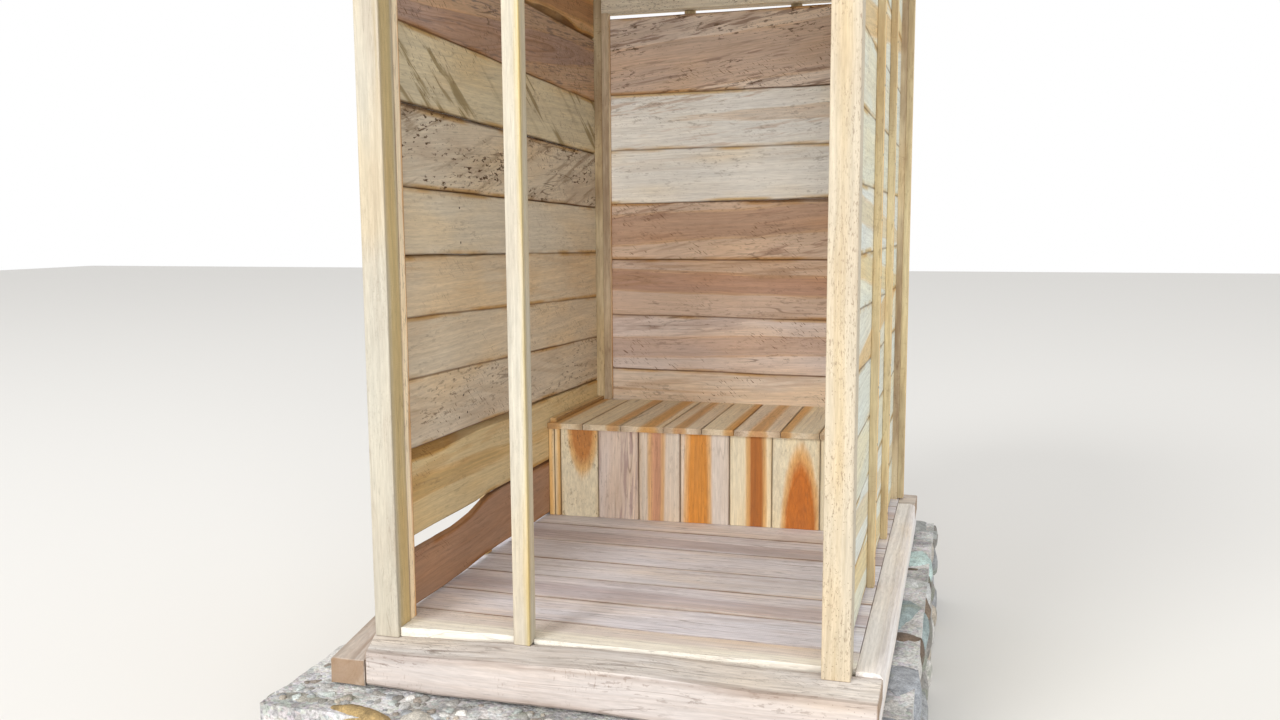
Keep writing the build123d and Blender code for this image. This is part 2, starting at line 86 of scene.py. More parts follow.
def eaves(y):
    """Height of the underside of the side plates, in millimetres."""
    return BACK_EAVES + (DEPTH - y) * SLOPE


def linear(text, alpha=1.0):
    """Linear colour of an sRGB hex value, with alpha as its fourth part."""
    parts = [int(text[i:i + 2], 16) / 255.0 for i in (0, 2, 4)]
    return (*[c / 12.92 if c <= 0.04045 else ((c + 0.055) / 1.055) ** 2.4 for c in parts], alpha)


# How a board was cut from its log. Colours are sRGB hex. Lengths are millimetres: the heart's
# radius, the pith's place against the middle of the board's face (across, deep), and its drift
# per metre of board. Rings, specks and stain run from 0 to 1. A vein is a mineral streak: its
# angle to the board in degrees, width, strength from 0 to 1 and colour.
Cut = namedtuple("Cut", "sap heart radius pith drift rings specks stain vein",
                 defaults=[(0, 40, 0.0, "8A6A48")])
Axes = namedtuple("Axes", "along across deep")


def rough(seed, *place):
    """Smooth noise between -1 and 1."""
    place = (*place, 0.0, 0.0)[:3]
    return noise.noise(Vector(place) + Vector((seed * 7.13, seed * 3.71, seed * 1.37)))


def value(maybe, s):
    """A number as it is, or a function of the distance read at s."""
    return maybe(s) if callable(maybe) else maybe


def along_table(table, x):
    """Straight-line reading of a table of (place, value)."""
    for (a, va), (b, vb) in zip(table, table[1:]):
        if x <= b:
            return va + (vb - va) * max(0.0, x - a) / (b - a)
    return table[-1][1]


def section(low, high, thick, arris, wane, lanes):
    """Points round a board's section as (across, deep, rim), front face first."""
    edge = min(0.0035, (high - low) / 12.0)
    # Waney edges get darker rims: bark remnants, and painted shade under the wane's lip
    bark_and_shade = [0.75 + 25 * min(0.01, max(0.0, w - 0.006)) if w > 0.003 else 1.0 for w in wane]

    def face(a, b, deep, dark_a, dark_b):
        inner = [a + 4 * edge + (b - a - 8 * edge) * i / lanes for i in range(lanes + 1)]
        return ([(a, deep, dark_a), (a + edge, deep, 0.4)] + [(w, deep, 0.0) for w in inner]
                + [(b - edge, deep, 0.4), (b, deep, dark_b)])

    front = face(low + arris, high - arris, 0.0, 1.0, 1.0)
    back = face(low + wane[0] + arris, high - wane[1] - arris, thick, *bark_and_shade)
    return (front + [(high, arris, 1.0), (high - wane[1], thick - arris, bark_and_shade[1])]
            + back[::-1] + [(low + wane[0], thick - arris, bark_and_shade[0]), (low, arris, 1.0)])


def lined(corners, counts):
    """Closed outline through (across, deep) corners, each side cut into its count of parts."""
    outline = []
    for (w0, t0), (w1, t1), count in zip(corners, corners[1:] + corners[:1], counts):
        for i in range(count):
            f = i / count
            outline.append((w0 + (w1 - w0) * f, t0 + (t1 - t0) * f, 1.0 if i == 0 else 0.0))
    return outline


def mesh_object(name, points, faces, material):
    """A mesh linked into the scene."""
    mesh = bpy.data.meshes.new(name)
    mesh.from_pydata(points, [], faces)
    mesh.materials.append(material)
    piece = bpy.data.objects.new(name, mesh)
    bpy.context.scene.collection.objects.link(piece)
    return piece


def put(piece, slot, *nodes):
    """Hang a finished piece on the hut's body in place of its nodes."""
    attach(piece, BODY)
    if nodes:
        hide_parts(*nodes)


def paint(mesh, name, kind, values):
    """Store one value per vertex for the materials to read."""
    layer = mesh.attributes.new(name, kind, "POINT")
    field = {"FLOAT": "value", "FLOAT_VECTOR": "vector", "FLOAT_COLOR": "color"}[kind]
    layer.data.foreach_set(field, values if kind == "FLOAT" else [c for v in values for c in v])


def swept(name, key, node, look, start, axes, length, outline, near=None, far=None, steps=(),
          arris=0.0015, step=0.04, relief=0.0004, middle=0.0, seed=None, slot=None):
    """A timber from start with its grain along its length and outline(s) as its section.

    near and far give the end cuts, and steps the places where the section changes at once."""
    seed = seed if seed is not None else sum(map(ord, name)) % 997
    count = max(2, round(length / step))
    runs = [arris + (length - 2 * arris) * i / count for i in range(count + 1)]
    runs = [s for s in runs if all(abs(s - c) > 0.004 for c in steps)]
    runs = sorted([0.0, length] + runs + [c + d for c in steps for d in (-0.0002, 0.0002)])
    pith, drift = Vector(look.pith) / MM, Vector(look.drift) / MM
    angle, width, strength, vein_colour = look.vein
    cos, sin = math.cos(math.radians(angle)), math.sin(math.radians(angle))
    points, logs, rims, ends, loops, veins = [], [], [], [], [], []
    for s in runs:
        cap = s in (0.0, length)
        around = outline(s)
        centre = [sum(p[i] for p in around) / len(around) for i in (0, 1)]
        loops.append(range(len(points), len(points) + len(around)))
        for w, t, rim in around:
            out_w, out_t = w - centre[0], t - centre[1]
            reach = math.hypot(out_w, out_t)
            inset = relief * (0.5 + 0.5 * rough(seed, s * 3.1, w * 9.0, t * 9.0))
            inset += arris if cap else 0.0
            w -= out_w / reach * inset
            t -= out_t / reach * inset
            a = near(w, t) if near else 0.0
            b = far(w, t) if far else length
            run = a + s / length * (b - a)
            points.append(start + axes.along * run + axes.across * w + axes.deep * t)
            logs.append((run + seed * 1.7, w - middle - pith.x - drift.x * run,
                         t - pith.y - drift.y * run))
            veins.append(((run * cos + (w - middle) * sin) * 100.0 / width + seed,
                          ((w - middle) * cos - run * sin) * MM / width, strength))
            rims.append(rim)
            ends.append(1.0 if cap else 0.0)
    n = len(loops[0])
    faces = [(one[i], one[(i + 1) % n], two[(i + 1) % n], two[i])
             for one, two in zip(loops, loops[1:]) for i in range(n)]
    faces += [tuple(loops[0][::-1]), tuple(loops[-1])]
    if axes.along.cross(axes.across).dot(axes.deep) > 0:
        faces = [f[::-1] for f in faces]
    piece = mesh_object(name, points, faces, finish_of(key))
    count = len(points)
    for layer, kind, values in (
            ("log", "FLOAT_VECTOR", logs), ("vein", "FLOAT_VECTOR", veins),
            ("cut", "FLOAT_VECTOR", [(look.radius / MM, look.rings, look.specks)] * count),
            ("sapwood", "FLOAT_COLOR", [linear(look.sap, look.stain)] * count),
            ("heartwood", "FLOAT_COLOR", [linear(look.heart)] * count),
            ("veincolour", "FLOAT_COLOR", [linear(vein_colour)] * count),
            ("rim", "FLOAT", rims), ("end", "FLOAT", ends)):
        paint(piece.data, layer, kind, values)
    put(piece, slot or FINISHES[key][0], node)


def sawn(name, key, node, look, start, axes, length, low, high, thick, wane=(0.0, 0.0),
         arris=0.0015, wobble=0.0006, seed=None, **more):
    """One sawn board; its edges low and high and its wanes may be functions of the distance."""
    seed = seed if seed is not None else sum(map(ord, name)) % 997
    half = length / 2
    lanes = max(2, round((value(high, half) - value(low, half)) / 0.045))

    def outline(s):
        return section(value(low, s) + wobble * rough(seed, s * 6.0, 0.3),
                       value(high, s) + wobble * rough(seed + 5, s * 6.0, 0.7), thick, arris,
                       (value(wane[0], s), value(wane[1], s)), lanes)
    swept(name, key, node, look, start, axes, length, outline, arris=arris, seed=seed,
          middle=(value(low, half) + value(high, half)) / 2, **more)


# Materials


class Wire:
    """One output of a shader node. Sums and products of wires add maths nodes."""

    def __init__(self, tree, node, output=0):
        self.tree, self.node = tree, node
        self.socket = node.outputs[output] if node.outputs else None

    def __getitem__(self, output):
        return Wire(self.tree, self.node, output)

    def __add__(self, other):
        return maths("ADD", self, other)

    def __sub__(self, other):
        return maths("SUBTRACT", self, other)

    def __rsub__(self, other):
        return maths("SUBTRACT", other, self)

    def __mul__(self, other):
        return maths("MULTIPLY", self, other)


def add(tree, kind, inputs=None, **settings):
    """Add a node, set its properties, and set or link its inputs."""
    made = tree.nodes.new(kind)
    for key, setting in settings.items():
        setattr(made, key, setting)
    for key, given in (inputs or {}).items():
        if isinstance(given, Wire):
            tree.links.new(given.socket, made.inputs[key])
        else:
            made.inputs[key].default_value = given
    return Wire(tree, made)


def tree_of(given):
    """Node tree of the first wire among some inputs."""
    return next(one.tree for one in given if isinstance(one, Wire))


def maths(operation, *given, clamp=False):
    return add(tree_of(given), "ShaderNodeMath", dict(enumerate(given)), operation=operation,
               use_clamp=clamp)


def vectors(operation, *given):
    return add(tree_of(given), "ShaderNodeVectorMath", dict(enumerate(given)),
               operation=operation)


def mix(factor, one, two, blend="MIX"):
    return add(tree_of((one, two)), "ShaderNodeMix", {0: factor, 6: one, 7: two},
               data_type="RGBA", blend_type=blend)[2]


def multiply(one, two):
    """One colour darkened by another."""
    return mix(1.0, one, two, "MULTIPLY")


def cloudy(place, scale, detail, roughness=0.5, **more):
    """Noise at a place, with scale in features per metre."""
    return add(place.tree, "ShaderNodeTexNoise",
               {"Vector": place, "Scale": scale, "Detail": detail, "Roughness": roughness, **more})


def noise_line(given):
    """Noise along one measure."""
    return add(given.tree, "ShaderNodeTexNoise", {"W": given, "Scale": 1.0, "Detail": 1.0},
               noise_dimensions="1D")


def spread(given, low, high, to_low=0.0, to_high=1.0):
    """Smooth step from low to high, as a value from to_low to to_high."""
    return add(given.tree, "ShaderNodeMapRange",
               {"Value": given, "From Min": low, "From Max": high, "To Min": to_low,
                "To Max": to_high}, interpolation_type="SMOOTHSTEP")


def grey(v):
    return (v, v, v, 1.0)


def ramp(factor, stops):
    """Colour ramp through stops of (place, grey value or colour)."""
    made = add(factor.tree, "ShaderNodeValToRGB", {"Fac": factor})
    elements = made.node.color_ramp.elements
    while len(elements) < len(stops):
        elements.new(0.5)
    for element, (place, colour) in zip(elements, stops):
        element.position = place
        element.color = grey(colour) if isinstance(colour, float) else colour
    return made


def new_tree(name):
    """A material and its emptied node tree."""
    material = bpy.data.materials.new(name)
    material.use_nodes = True
    material.node_tree.nodes.clear()
    return material, material.node_tree


def surface(made, inputs):
    """Give a new material its one shader."""
    material, tree = made
    shader = add(tree, "ShaderNodeBsdfPrincipled", inputs)
    add(tree, "ShaderNodeOutputMaterial", {"Surface": shader})
    return material


def bumps(height, strength, distance, **settings):
    return add(height.tree, "ShaderNodeBump",
               {"Height": height, "Strength": strength, "Distance": distance}, **settings)


def timber(name, ring_mm, fibre_mm, saw_mm, weather, roughness, grey_hex="8E8378", wander_mm=15,
           contrast=1.0, edge_dark=0.8, fringe=0.0, soft=0.004, gold=0.0, fleck_mm=10.0,
           ragged=0.022, scratches=0.0, end_dark=0.35):
    """Sawn broadleaf wood whose figure follows each board's own place in the log."""
    material, tree = new_tree(name)

    def read(attribute, output="Vector"):
        return add(tree, "ShaderNodeAttribute", attribute_name=attribute)[output]

    def parts(given):
        return add(tree, "ShaderNodeSeparateXYZ", {0: given})

    def noisy(source, along, across, detail=3.0, roughness=0.55):
        """Noise stretched along the grain; along and across are in features per metre."""
        return cloudy(vectors("MULTIPLY", source, (along, across, across)), 1.0, detail,
                      roughness)

    log, sap, stain = read("log"), read("sapwood", "Color"), read("sapwood", "Alpha")
    own = parts(read("cut"))
    radius, ring_share, speck_share = own[0], own[1], own[2]

    # The rings wander by a few millimetres and the grain leans slowly along the board
    wander = vectors("SUBTRACT", noisy(log, 1.7, 8.0, 2.0)["Color"], (0.5, 0.5, 0.5))
    reach = wander_mm / 500.0
    place = vectors("ADD", log, vectors("MULTIPLY", wander, (0.0, reach, reach)))
    radial = vectors("LENGTH", vectors("MULTIPLY", place, (0.0, 1.0, 1.0)))["Value"]

    # Growth rings: a slow rise through the early wood and a narrow dark line of late wood
    phase = maths("FRACT", maths("DIVIDE", radial, ring_mm / MM))
    late = ramp(phase, [(0.0, 0.0), (0.5, 0.18), (0.86, 1.0), (0.95, 0.35), (1.0, 0.0)])
    rings = late * spread(noise_line(radial * 34.0), 0.42, 0.66, 0.2, 1.0) * ring_share

    # Heartwood inside its radius, with a ragged edge
    streaks = noisy(place, 2.2, 110.0, 4.0, 0.62)
    shade = spread(radial + (streaks - 0.5) * ragged - radius, -soft, 2.0 * soft)
    colour = mix(shade, read("heartwood", "Color"), sap)
    colour = mix(shade * (1.0 - shade) * (4.0 * gold), colour, linear("DDA64E"))
    colour = mix(rings * 0.65, colour, multiply(colour, (0.56, 0.45, 0.36, 1.0)))

    # Fibre is finer than a pixel, so it is drawn about three times as coarse as it is. Pores
    # show as short strokes, and checks as thin dark lines that run on.
    fibre = noisy(place, 24.0, MM / fibre_mm / 3.0, 2.0)
    tone = (spread(streaks, 0.30, 0.70, 1.0 - 0.17 * contrast, 1.08)
            * spread(fibre, 0.28, 0.72, 1.0 - 0.12 * contrast, 1.06))
    pores = (spread(noisy(log, 14.0, 150.0, 3.0, 0.6), 0.60, 0.68)
             * spread(noisy(log, 3.0, 9.0, 2.0), 0.42, 0.60, 0.1, 1.0)
             * spread(stain, 0.08, 0.3, 0.35, 1.0))
    tone = tone * spread(pores, 0.0, 1.0, 1.0, 1.0 - 0.42 * contrast)
    line = maths("ABSOLUTE", noisy(place, 1.1, 17.0, 2.0, 0.45) - 0.5)
    checks = (spread(line, 0.0, 0.010, 1.0, 0.0) * spread(noisy(log, 2.0, 6.0, 1.0), 0.52, 0.6)
              * spread(stain, 0.0, 0.6, 0.05, 0.75))
    colour = multiply(colour, add(tree, "ShaderNodeCombineXYZ", {0: tone, 1: tone, 2: tone}))
    warmth = ramp(noisy(log, 1.6, 6.0, 2.0), [(0.35, (0.95, 0.97, 1.0, 1.0)), (0.5, grey(1.0)),
                                              (0.65, (1.06, 0.99, 0.88, 1.0))])
    colour = mix(checks, multiply(colour, warmth), linear("5E4635"))

    # Mineral streaks across the grain
    vein = read("vein")
    lane = parts(vein)
    veined = cloudy(vectors("MULTIPLY", vein, (1.0, 1.0, 0.0)), 1.0, 5.0, 0.55, Distortion=0.2)
    veined = (spread(veined, 0.48, 0.60) * lane[2]
              * spread(noise_line(lane[1] * 0.22), 0.46, 0.58))
    colour = mix(veined, colour, read("veincolour", "Color"))

    # Grey and brown stains, mostly near the bark
    cloud = noisy(log, 2.4, 11.0, 4.0, 0.6)
    colour = mix(spread(cloud, 0.46, 0.70) * stain * 0.55, colour, linear("9C7C62"))
    worn = noisy(log, 1.1, 30.0, 5.0, 0.65)
    colour = mix(spread(worn, 0.35, 0.7, weather * 0.45, weather), colour, linear(grey_hex))

    # Saw scratches that fall towards one end, in patches
    scratch = add(tree, "ShaderNodeVectorRotate", {"Vector": log, "Angle": 0.7},
                  rotation_type="Z_AXIS")
    scratch = cloudy(vectors("MULTIPLY", scratch, (38.0, 260.0, 60.0)), 1.0, 2.0)
    scratch = (spread(scratch, 0.62, 0.67) * spread(noisy(log, 3.5, 7.0, 2.0), 0.50, 0.62)
               * spread(stain, 0.08, 0.3, 0.3 * scratches, scratches))
    colour = mix(scratch, colour, linear("6A4C30"))

    # Short dark flecks along the grain, in patches, and round dots between them
    fleck = noisy(place, 300.0 / fleck_mm, MM / fleck_mm, 4.0, 0.65)
    fleck = spread(fleck, 0.56, 0.61) * spread(noisy(log, 4.0, 14.0, 1.0), 0.4, 0.62)
    colour = mix(maths("MULTIPLY", fleck, speck_share, clamp=True), colour, linear("5C4634"))
    dot = add(tree, "ShaderNodeTexVoronoi", {"Vector": log, "Scale": 110.0})
    dot = (spread(dot, 0.10, 0.2, 1.0, 0.0) * spread(dot["Color"], 0.62, 0.64)
           * maths("MINIMUM", speck_share, 0.5))
    colour = mix(dot, colour, linear("4A382A"))

    # Arrises and seams darken, partly with handling and bark dust and partly as painted shade where
    # parts meet, and end grain soaks up more of everything
    rim = read("rim", "Fac")
    glow = spread(rim, 0.0, 0.4) * spread(noisy(log, 3.0, 3.0, 3.0), 0.42, 0.62, 0.0, fringe)
    colour = mix(glow, colour, multiply(colour, (0.78, 0.56, 0.28, 1.0)))
    rims = (spread(rim, 0.4, 1.0) * spread(cloud, 0.3, 0.7, edge_dark * 0.5, edge_dark)
            * spread(stain, 0.08, 0.4, 0.6, 1.0))
    colour = mix(rims, colour, linear("6A4A2C"))
    colour = mix(read("end", "Fac") * end_dark, colour, linear("8A6A48"))

    # Relief of fibre, rings, checks and pores, and the waves of the saw
    saw = maths("SINE", parts(log) * (2000.0 * math.pi / saw_mm))
    height = (streaks * 1.2 + fibre * 0.6 - (rings * 0.5 + checks) - pores * 0.4 + saw * 0.06)
    return surface((material, tree), {
        "Base Color": colour, "Normal": bumps(height, 0.45, 0.0015), "IOR": 1.5,
        "Specular IOR Level": 0.25,
        "Roughness": spread(streaks, 0.3, 0.7, roughness - 0.08, roughness + 0.06)})


def rubble(name):
    """Split field stone: each stone's own colour under mottling, lichen and grit."""
    made = new_tree(name)
    place = add(made[1], "ShaderNodeTexCoord")["Object"]
    mottle, grit, lichen = (cloudy(place, 28.0, 6.0, 0.65), cloudy(place, 240.0, 3.0),
                            cloudy(place, 11.0, 4.0))
    colour = multiply(add(made[1], "ShaderNodeAttribute", attribute_name="stone"),
                      ramp(mottle, [(0.3, 0.55), (0.5, 0.95), (0.7, 1.35)]))
    colour = mix(ramp(lichen, [(0.56, 0.0), (0.66, 0.65)]), colour, linear("8D9384"))
    return surface(made, {
        "Base Color": multiply(colour, ramp(grit, [(0.4, 0.8), (0.62, 1.15)])),
        "Roughness": 0.88, "IOR": 1.52, "Normal": bumps(mottle + grit, 0.6, 0.004)})


def mortar(name):
    """Lime and river sand mortar with pebbles that show as pale and dark dots."""
    made = new_tree(name)
    place = add(made[1], "ShaderNodeTexCoord")["Object"]
    sand, damp = cloudy(place, 130.0, 5.0, 0.7), cloudy(place, 7.0, 3.0)
    pebble = add(made[1], "ShaderNodeTexVoronoi", {"Vector": place, "Scale": 75.0})
    colour = ramp(sand, [(0.3, linear("9A968E")), (0.5, linear("D4D0C8")),
                         (0.7, linear("F4F1EC"))])
    colour = mix(ramp(damp, [(0.4, 0.0), (0.62, 0.7)]), colour, linear("8E8A80"), "MULTIPLY")
    colour = mix(0.25, colour, pebble["Color"], "OVERLAY")
    colour = add(made[1], "ShaderNodeHueSaturation", {"Saturation": 0.25, "Color": colour})
    return surface(made, {"Base Color": colour, "Roughness": 0.93, "IOR": 1.5,
                          "Normal": bumps(pebble - sand, 0.7, 0.005, invert=True)})


def nail_steel(name):
    """Wire nail heads of mild steel, dull with a little rust."""
    made = new_tree(name)
    rust = cloudy(add(made[1], "ShaderNodeTexCoord")["Object"], 300.0, 2.0)
    return surface(made, {"Base Color": ramp(rust, [(0.4, linear("6F6C68")),
                                                    (0.6, linear("5A4436"))]),
                          "Metallic": 0.7, "Roughness": 0.55})


def plain(name, hex_text, roughness):
    """Matt paint of one even colour."""
    return surface(new_tree(name), {"Base Color": linear(hex_text), "Roughness": roughness})


# Each finish: the record's slot, its maker, its name, and what the maker is given. For timber
# that is the width of a ring, of a fibre and of a saw mark in millimetres, the share of grey
# weathering, and the roughness.
FINISHES = {
    # Planed sapwood: cream faces with fine lines, a soft sheen and clean edges
    "post": ("sapwood_post", timber, "Chinaberry posts, planed sapwood", 9, 1.2, 6, 0.04, 0.62,
             dict(grey_hex="CFC4A8", contrast=0.7, edge_dark=0.25, soft=0.008, fleck_mm=3.5)),
    # Left rough from the saw: dull faces, saw scratches and dark waney rims, partly bark dust and
    # partly painted shade under the wanes
    "plank": ("plank_wall", timber, "Chinaberry planks, band sawn", 8, 1.2, 4, 0.12, 0.78,
              dict(grey_hex="B9AA9A", contrast=0.65, edge_dark=0.9, fringe=0.9, gold=0.2,
                   scratches=0.8)),
    # Ripped into strips: straight grain, crisp dark edges that hold painted shade where strips and
    # posts meet, and a few scratches
    "batten": ("batten_wood", timber, "Chinaberry battens, rip sawn", 8, 1.2, 4, 0.08, 0.74,
               dict(grey_hex="D0BE94", contrast=0.8, edge_dark=1.0, scratches=0.4)),
    # Planed broad boards: smooth, with a brown heart that shades into pale sapwood
    "bench": ("bench_wood", timber, "Chinaberry bench boards, planed", 9, 1.2, 6, 0.0, 0.6,
              dict(wander_mm=9, contrast=0.7, edge_dark=0.7, fringe=0.3, soft=0.009, gold=0.5,
                   ragged=0.010)),
    # Hewn by hand and left outdoors: slow tool waves, greyed faces, dark ends, and corners darkened
    # a little as painted shade that damps their highlight
    "sill": ("weathered_sill", timber, "Chinaberry sills, hewn and weathered", 7, 1.6, 40, 0.35,
             0.85, dict(grey_hex="DED8D4", edge_dark=0.4, scratches=0.3, end_dark=0.7)),
    # Walked on: grey-white worn faces with strong grain and dark seams
    "floor": ("floor_wood", timber, "Chinaberry floor boards, worn", 7, 1.4, 5, 0.40, 0.8,
              dict(grey_hex="DAD9E2", contrast=1.5, edge_dark=0.9, fringe=0.35)),
    # Left rough and out in the weather: dull grey-brown faces
    "roof": ("roof_wood", timber, "Chinaberry roof boards, band sawn", 8, 1.2, 4, 0.25, 0.82,
             dict(grey_hex="A89880", contrast=0.8)),
    # Split faces: dull, mottled, with grit that catches the light and pale lichen
    "stone": ("rubble_stone", rubble, "Field stone, split", {}),
    # Struck off rough: pale and gritty, with pebbles showing
    "mortar": ("rubble_stone", mortar, "Lime mortar, pebbled", {}),
    # Cold-headed wire: small dull glints with a touch of rust
    "nail": ("batten_wood", nail_steel, "Mild steel nails, dull", {}),
    # Matt paint: no reflections, only soft shadows
    "stage": (None, plain, "Studio floor, pale matt", "E6E4E0", 0.9, {}),
}
MATERIALS = {}


def finish_of(key):
    """The hut's materials, each made once."""
    if key not in MATERIALS:
        _, maker, *given, more = FINISHES[key]
        MATERIALS[key] = maker(*given, **more)
    return MATERIALS[key]


# Sizes and colours that a user would change


class HutTimberSettings(bpy.types.PropertyGroup):
    arris: FloatProperty(name="Arris", description="Rounding of a sawn board's edges",
                         default=0.0016, min=0.0003, unit="LENGTH")
    joint: FloatProperty(name="Joint", description="Gap left between neighbouring planks",
                         default=0.0, min=0.0, unit="LENGTH")
    wobble: FloatProperty(name="Wobble", description="How far a sawn edge strays from its line",
                          default=0.0018, min=0.0, unit="LENGTH")
    nail: FloatProperty(name="Nail", description="Diameter of a nail's head",
                        default=0.007, min=0.002, unit="LENGTH")


class HutPlinthSettings(bpy.types.PropertyGroup):
    course: FloatProperty(name="Course", description="Usual height of a course of stones",
                          default=0.095, min=0.03, unit="LENGTH")
    stone: FloatProperty(name="Stone", description="Usual length of a stone",
                         default=0.17, min=0.05, unit="LENGTH")
    recess: FloatProperty(name="Recess",
                          description="Depth of the mortar behind the stones' faces",
                          default=0.022, min=0.0, unit="LENGTH")
    seed: IntProperty(name="Seed", description="Changes the choice of stones", default=7)


class HutStageSettings(bpy.types.PropertyGroup):
    key_power: FloatProperty(name="Key light", description="Power of the large front light",
                             default=1650.0, min=0.0, unit="POWER")
    side_power: FloatProperty(name="Side light", description="Power of the light on the right",
                              default=1200.0, min=0.0, unit="POWER")
    high_power: FloatProperty(name="High light", description="Power of the light from above",
                              default=2300.0, min=0.0, unit="POWER")
    sky: FloatProperty(name="Sky", description="Strength of the even light all round",
                       default=0.82, min=0.0)
    backdrop: FloatVectorProperty(name="Backdrop", description="Colour behind the hut",
                                  default=(1.0, 1.0, 1.0), subtype="COLOR", min=0.0, max=1.0)


TAN = Cut("DFCFB2", "CBAA80", 22, (10, 55), (14, 8), 0.2, 0.25, 0.3)
LEFT_CUTS = [
    Cut("C2A38E", "AE8A72", 120, (-10, 40), (24, 26), 0.4, 0.1, 0.3, (14, 34, 0.45, "9C6E54")),
    Cut("DECA9E", "CEB27C", 40, (15, 48), (-18, 8), 0.2, 0.15, 0.2, (3, 30, 0.35, "BC9358")),
    Cut("DDD0BC", "CFB494", 24, (20, 60), (20, 10), 0.2, 0.6, 0.4, (-8, 24, 0.25, "A98C68")),
    Cut("E1D3BC", "D0B08C", 20, (0, 64), (10, 5), 0.2, 0.2, 0.2, (5, 40, 0.2, "C09A68")),
    Cut("E1D2BA", "D2B48A", 30, (60, 50), (8, 4), 0.15, 0.15, 0.15, (-4, 50, 0.2, "C8A06A")),
    Cut("E1D8C6", "D2BC9E", 10, (-20, 80), (6, 5), 0.1, 0.25, 0.12, (6, 60, 0.2, "BCA684")),
    Cut("E1D5C1", "CAAE8E", 26, (-30, 58), (60, 14), 0.3, 1.0, 0.6, (16, 22, 0.55, "7E6448")),
    Cut("E2D7BA", "CEBC96", 20, (60, 80), (20, 0), 0.15, 0.15, 0.25, (-32, 26, 0.8, "8E7C50")),
    Cut("D4B69C", "BCA094", 70, (-110, 30), (90, 30), 1.0, 0.15, 0.55, (2, 7, 0.7, "75696C")),
    Cut("ECC490", "D2A276", 60, (-40, 45), (18, 8), 0.4, 0.3, 0.4),
    TAN,
]
BACK_CUTS = [
    TAN,
    Cut("E4D8C0", "D0B48C", 18, (-15, 70), (20, -6), 0.15, 0.15, 0.2),
    Cut("E0D0C0", "CCB4A0", 30, (20, 50), (12, 6), 0.25, 0.3, 0.4, (4, 30, 0.4, "B49478")),
    Cut("DACAC2", "C8B0A4", 45, (-20, 40), (30, 8), 0.3, 0.3, 0.45, (6, 30, 0.4, "A08478")),
    Cut("CFB6A4", "BC9680", 50, (30, 45), (-20, 6), 0.3, 0.3, 0.4, (3, 26, 0.5, "A07C5C")),
    Cut("D8BEA8", "C2A088", 60, (0, 40), (55, 8), 0.4, 0.4, 0.45, (12, 14, 0.6, "94705C")),
    Cut("F2F0EA", "E4DACC", 15, (-60, 60), (26, 6), 0.15, 0.35, 0.1, (3, 30, 0.2, "BCA68C")),
    Cut("F4F2EC", "E6DACC", 24, (-10, 58), (40, -38), 0.15, 0.35, 0.12, (7, 14, 0.5, "B08A6C")),
    Cut("EADACC", "D6BEAC", 90, (-80, 25), (110, 6), 0.45, 0.8, 0.6, (9, 12, 0.75, "846A5E")),
]
RIGHT_CUTS = [
    Cut("DEE2D4", "DCCEA4", 38, (70, 30), (-90, 4), 0.2, 0.2, 0.1),
    Cut("DFE2D8", "DAD0B2", 33, (40, 30), (-60, 6), 0.2, 0.2, 0.12),
    Cut("DCDDCA", "D6CCA8", 25, (-40, 50), (30, 4), 0.15, 0.2, 0.16),
    Cut("DBDFD3", "CEC6A8", 20, (0, 60), (12, 4), 0.15, 0.3, 0.15),
    Cut("E0E0D0", "D8C092", 40, (-90, 30), (110, 4), 0.2, 0.2, 0.2),
]


def plank_rows(seams, span, top, open_seams={}):
    """Lower and upper edge of each row as functions of the distance along it, in metres."""
    settings = bpy.context.scene.hut_timber
    bottom = (6, 6)

    def line(pair, seam):
        return lambda s: ((pair[0] + (pair[1] - pair[0]) * s / span) / MM
                          + settings.wobble * rough(seam, s * 6.0, 0.3))
    rows = []
    for i, (lower, upper) in enumerate(zip([bottom] + seams, seams + [top])):
        gap = open_seams.get(i, [settings.joint * MM] * 2)
        rows.append((line(lower, i), line((upper[0] - gap[0], upper[1] - gap[1]), i + 1)))
    return rows


def plank(name, i, node, look, start, axes, length, low, high, wanes, seed):
    """One plank of a wall, counted from the floor."""
    sawn("%s_%02d" % (name, i + 1), "plank", node, look, start, axes, length, low, high,
         PLANK / MM, wane=wanes.get(i, (0.0, 0.0)), arris=bpy.context.scene.hut_timber.arris,
         wobble=0.0, relief=0.0001, seed=seed)


def side_planks(name, node, x0, seams, cuts, open_seams={}, edges={}, wanes={}):
    """All planks of one side wall, cut off under the sloping plate."""
    start, end = POST + FIT, BACK_POST_FACE - FIT
    length = (end - start) / MM

    def roof(s):
        return eaves(start + s * MM) / MM - 0.0005

    top = (eaves(start) + 60, eaves(end) + 60)
    for i, (low, high) in enumerate(plank_rows(seams, length, top, open_seams)):
        if low(length) > roof(length) - 0.004 and low(0.0) > roof(0.0) - 0.004:
            continue
        if i in edges:
            low, high = edges[i](low, high)
        plank(name, i, node, cuts[i % len(cuts)], at(x0, start, 0),
              Axes(Y_AXIS, Z_AXIS, X_AXIS), length, low,
              lambda s, high=high: min(high(s), roof(s)), wanes, i + 11)


# The left wall's natural edges, in metres from its front end
FOOT_DROP = [(0.0, 0.036), (0.21, 0.038), (0.32, 0.037), (0.446, 0.026), (0.504, 0.014),
             (0.555, 0.003), (0.62, 0.0)]
OPEN_WANE = [(0.0, 0.021), (0.25, 0.024), (0.5, 0.013), (0.76, 0.015), (0.97, 0.002)]
TOP_WANE = [(0.0, 0.003), (0.94, 0.006), (1.13, 0.022), (1.26, 0.025), (1.36, 0.016),
            (1.42, 0.003), (1.6, 0.011)]


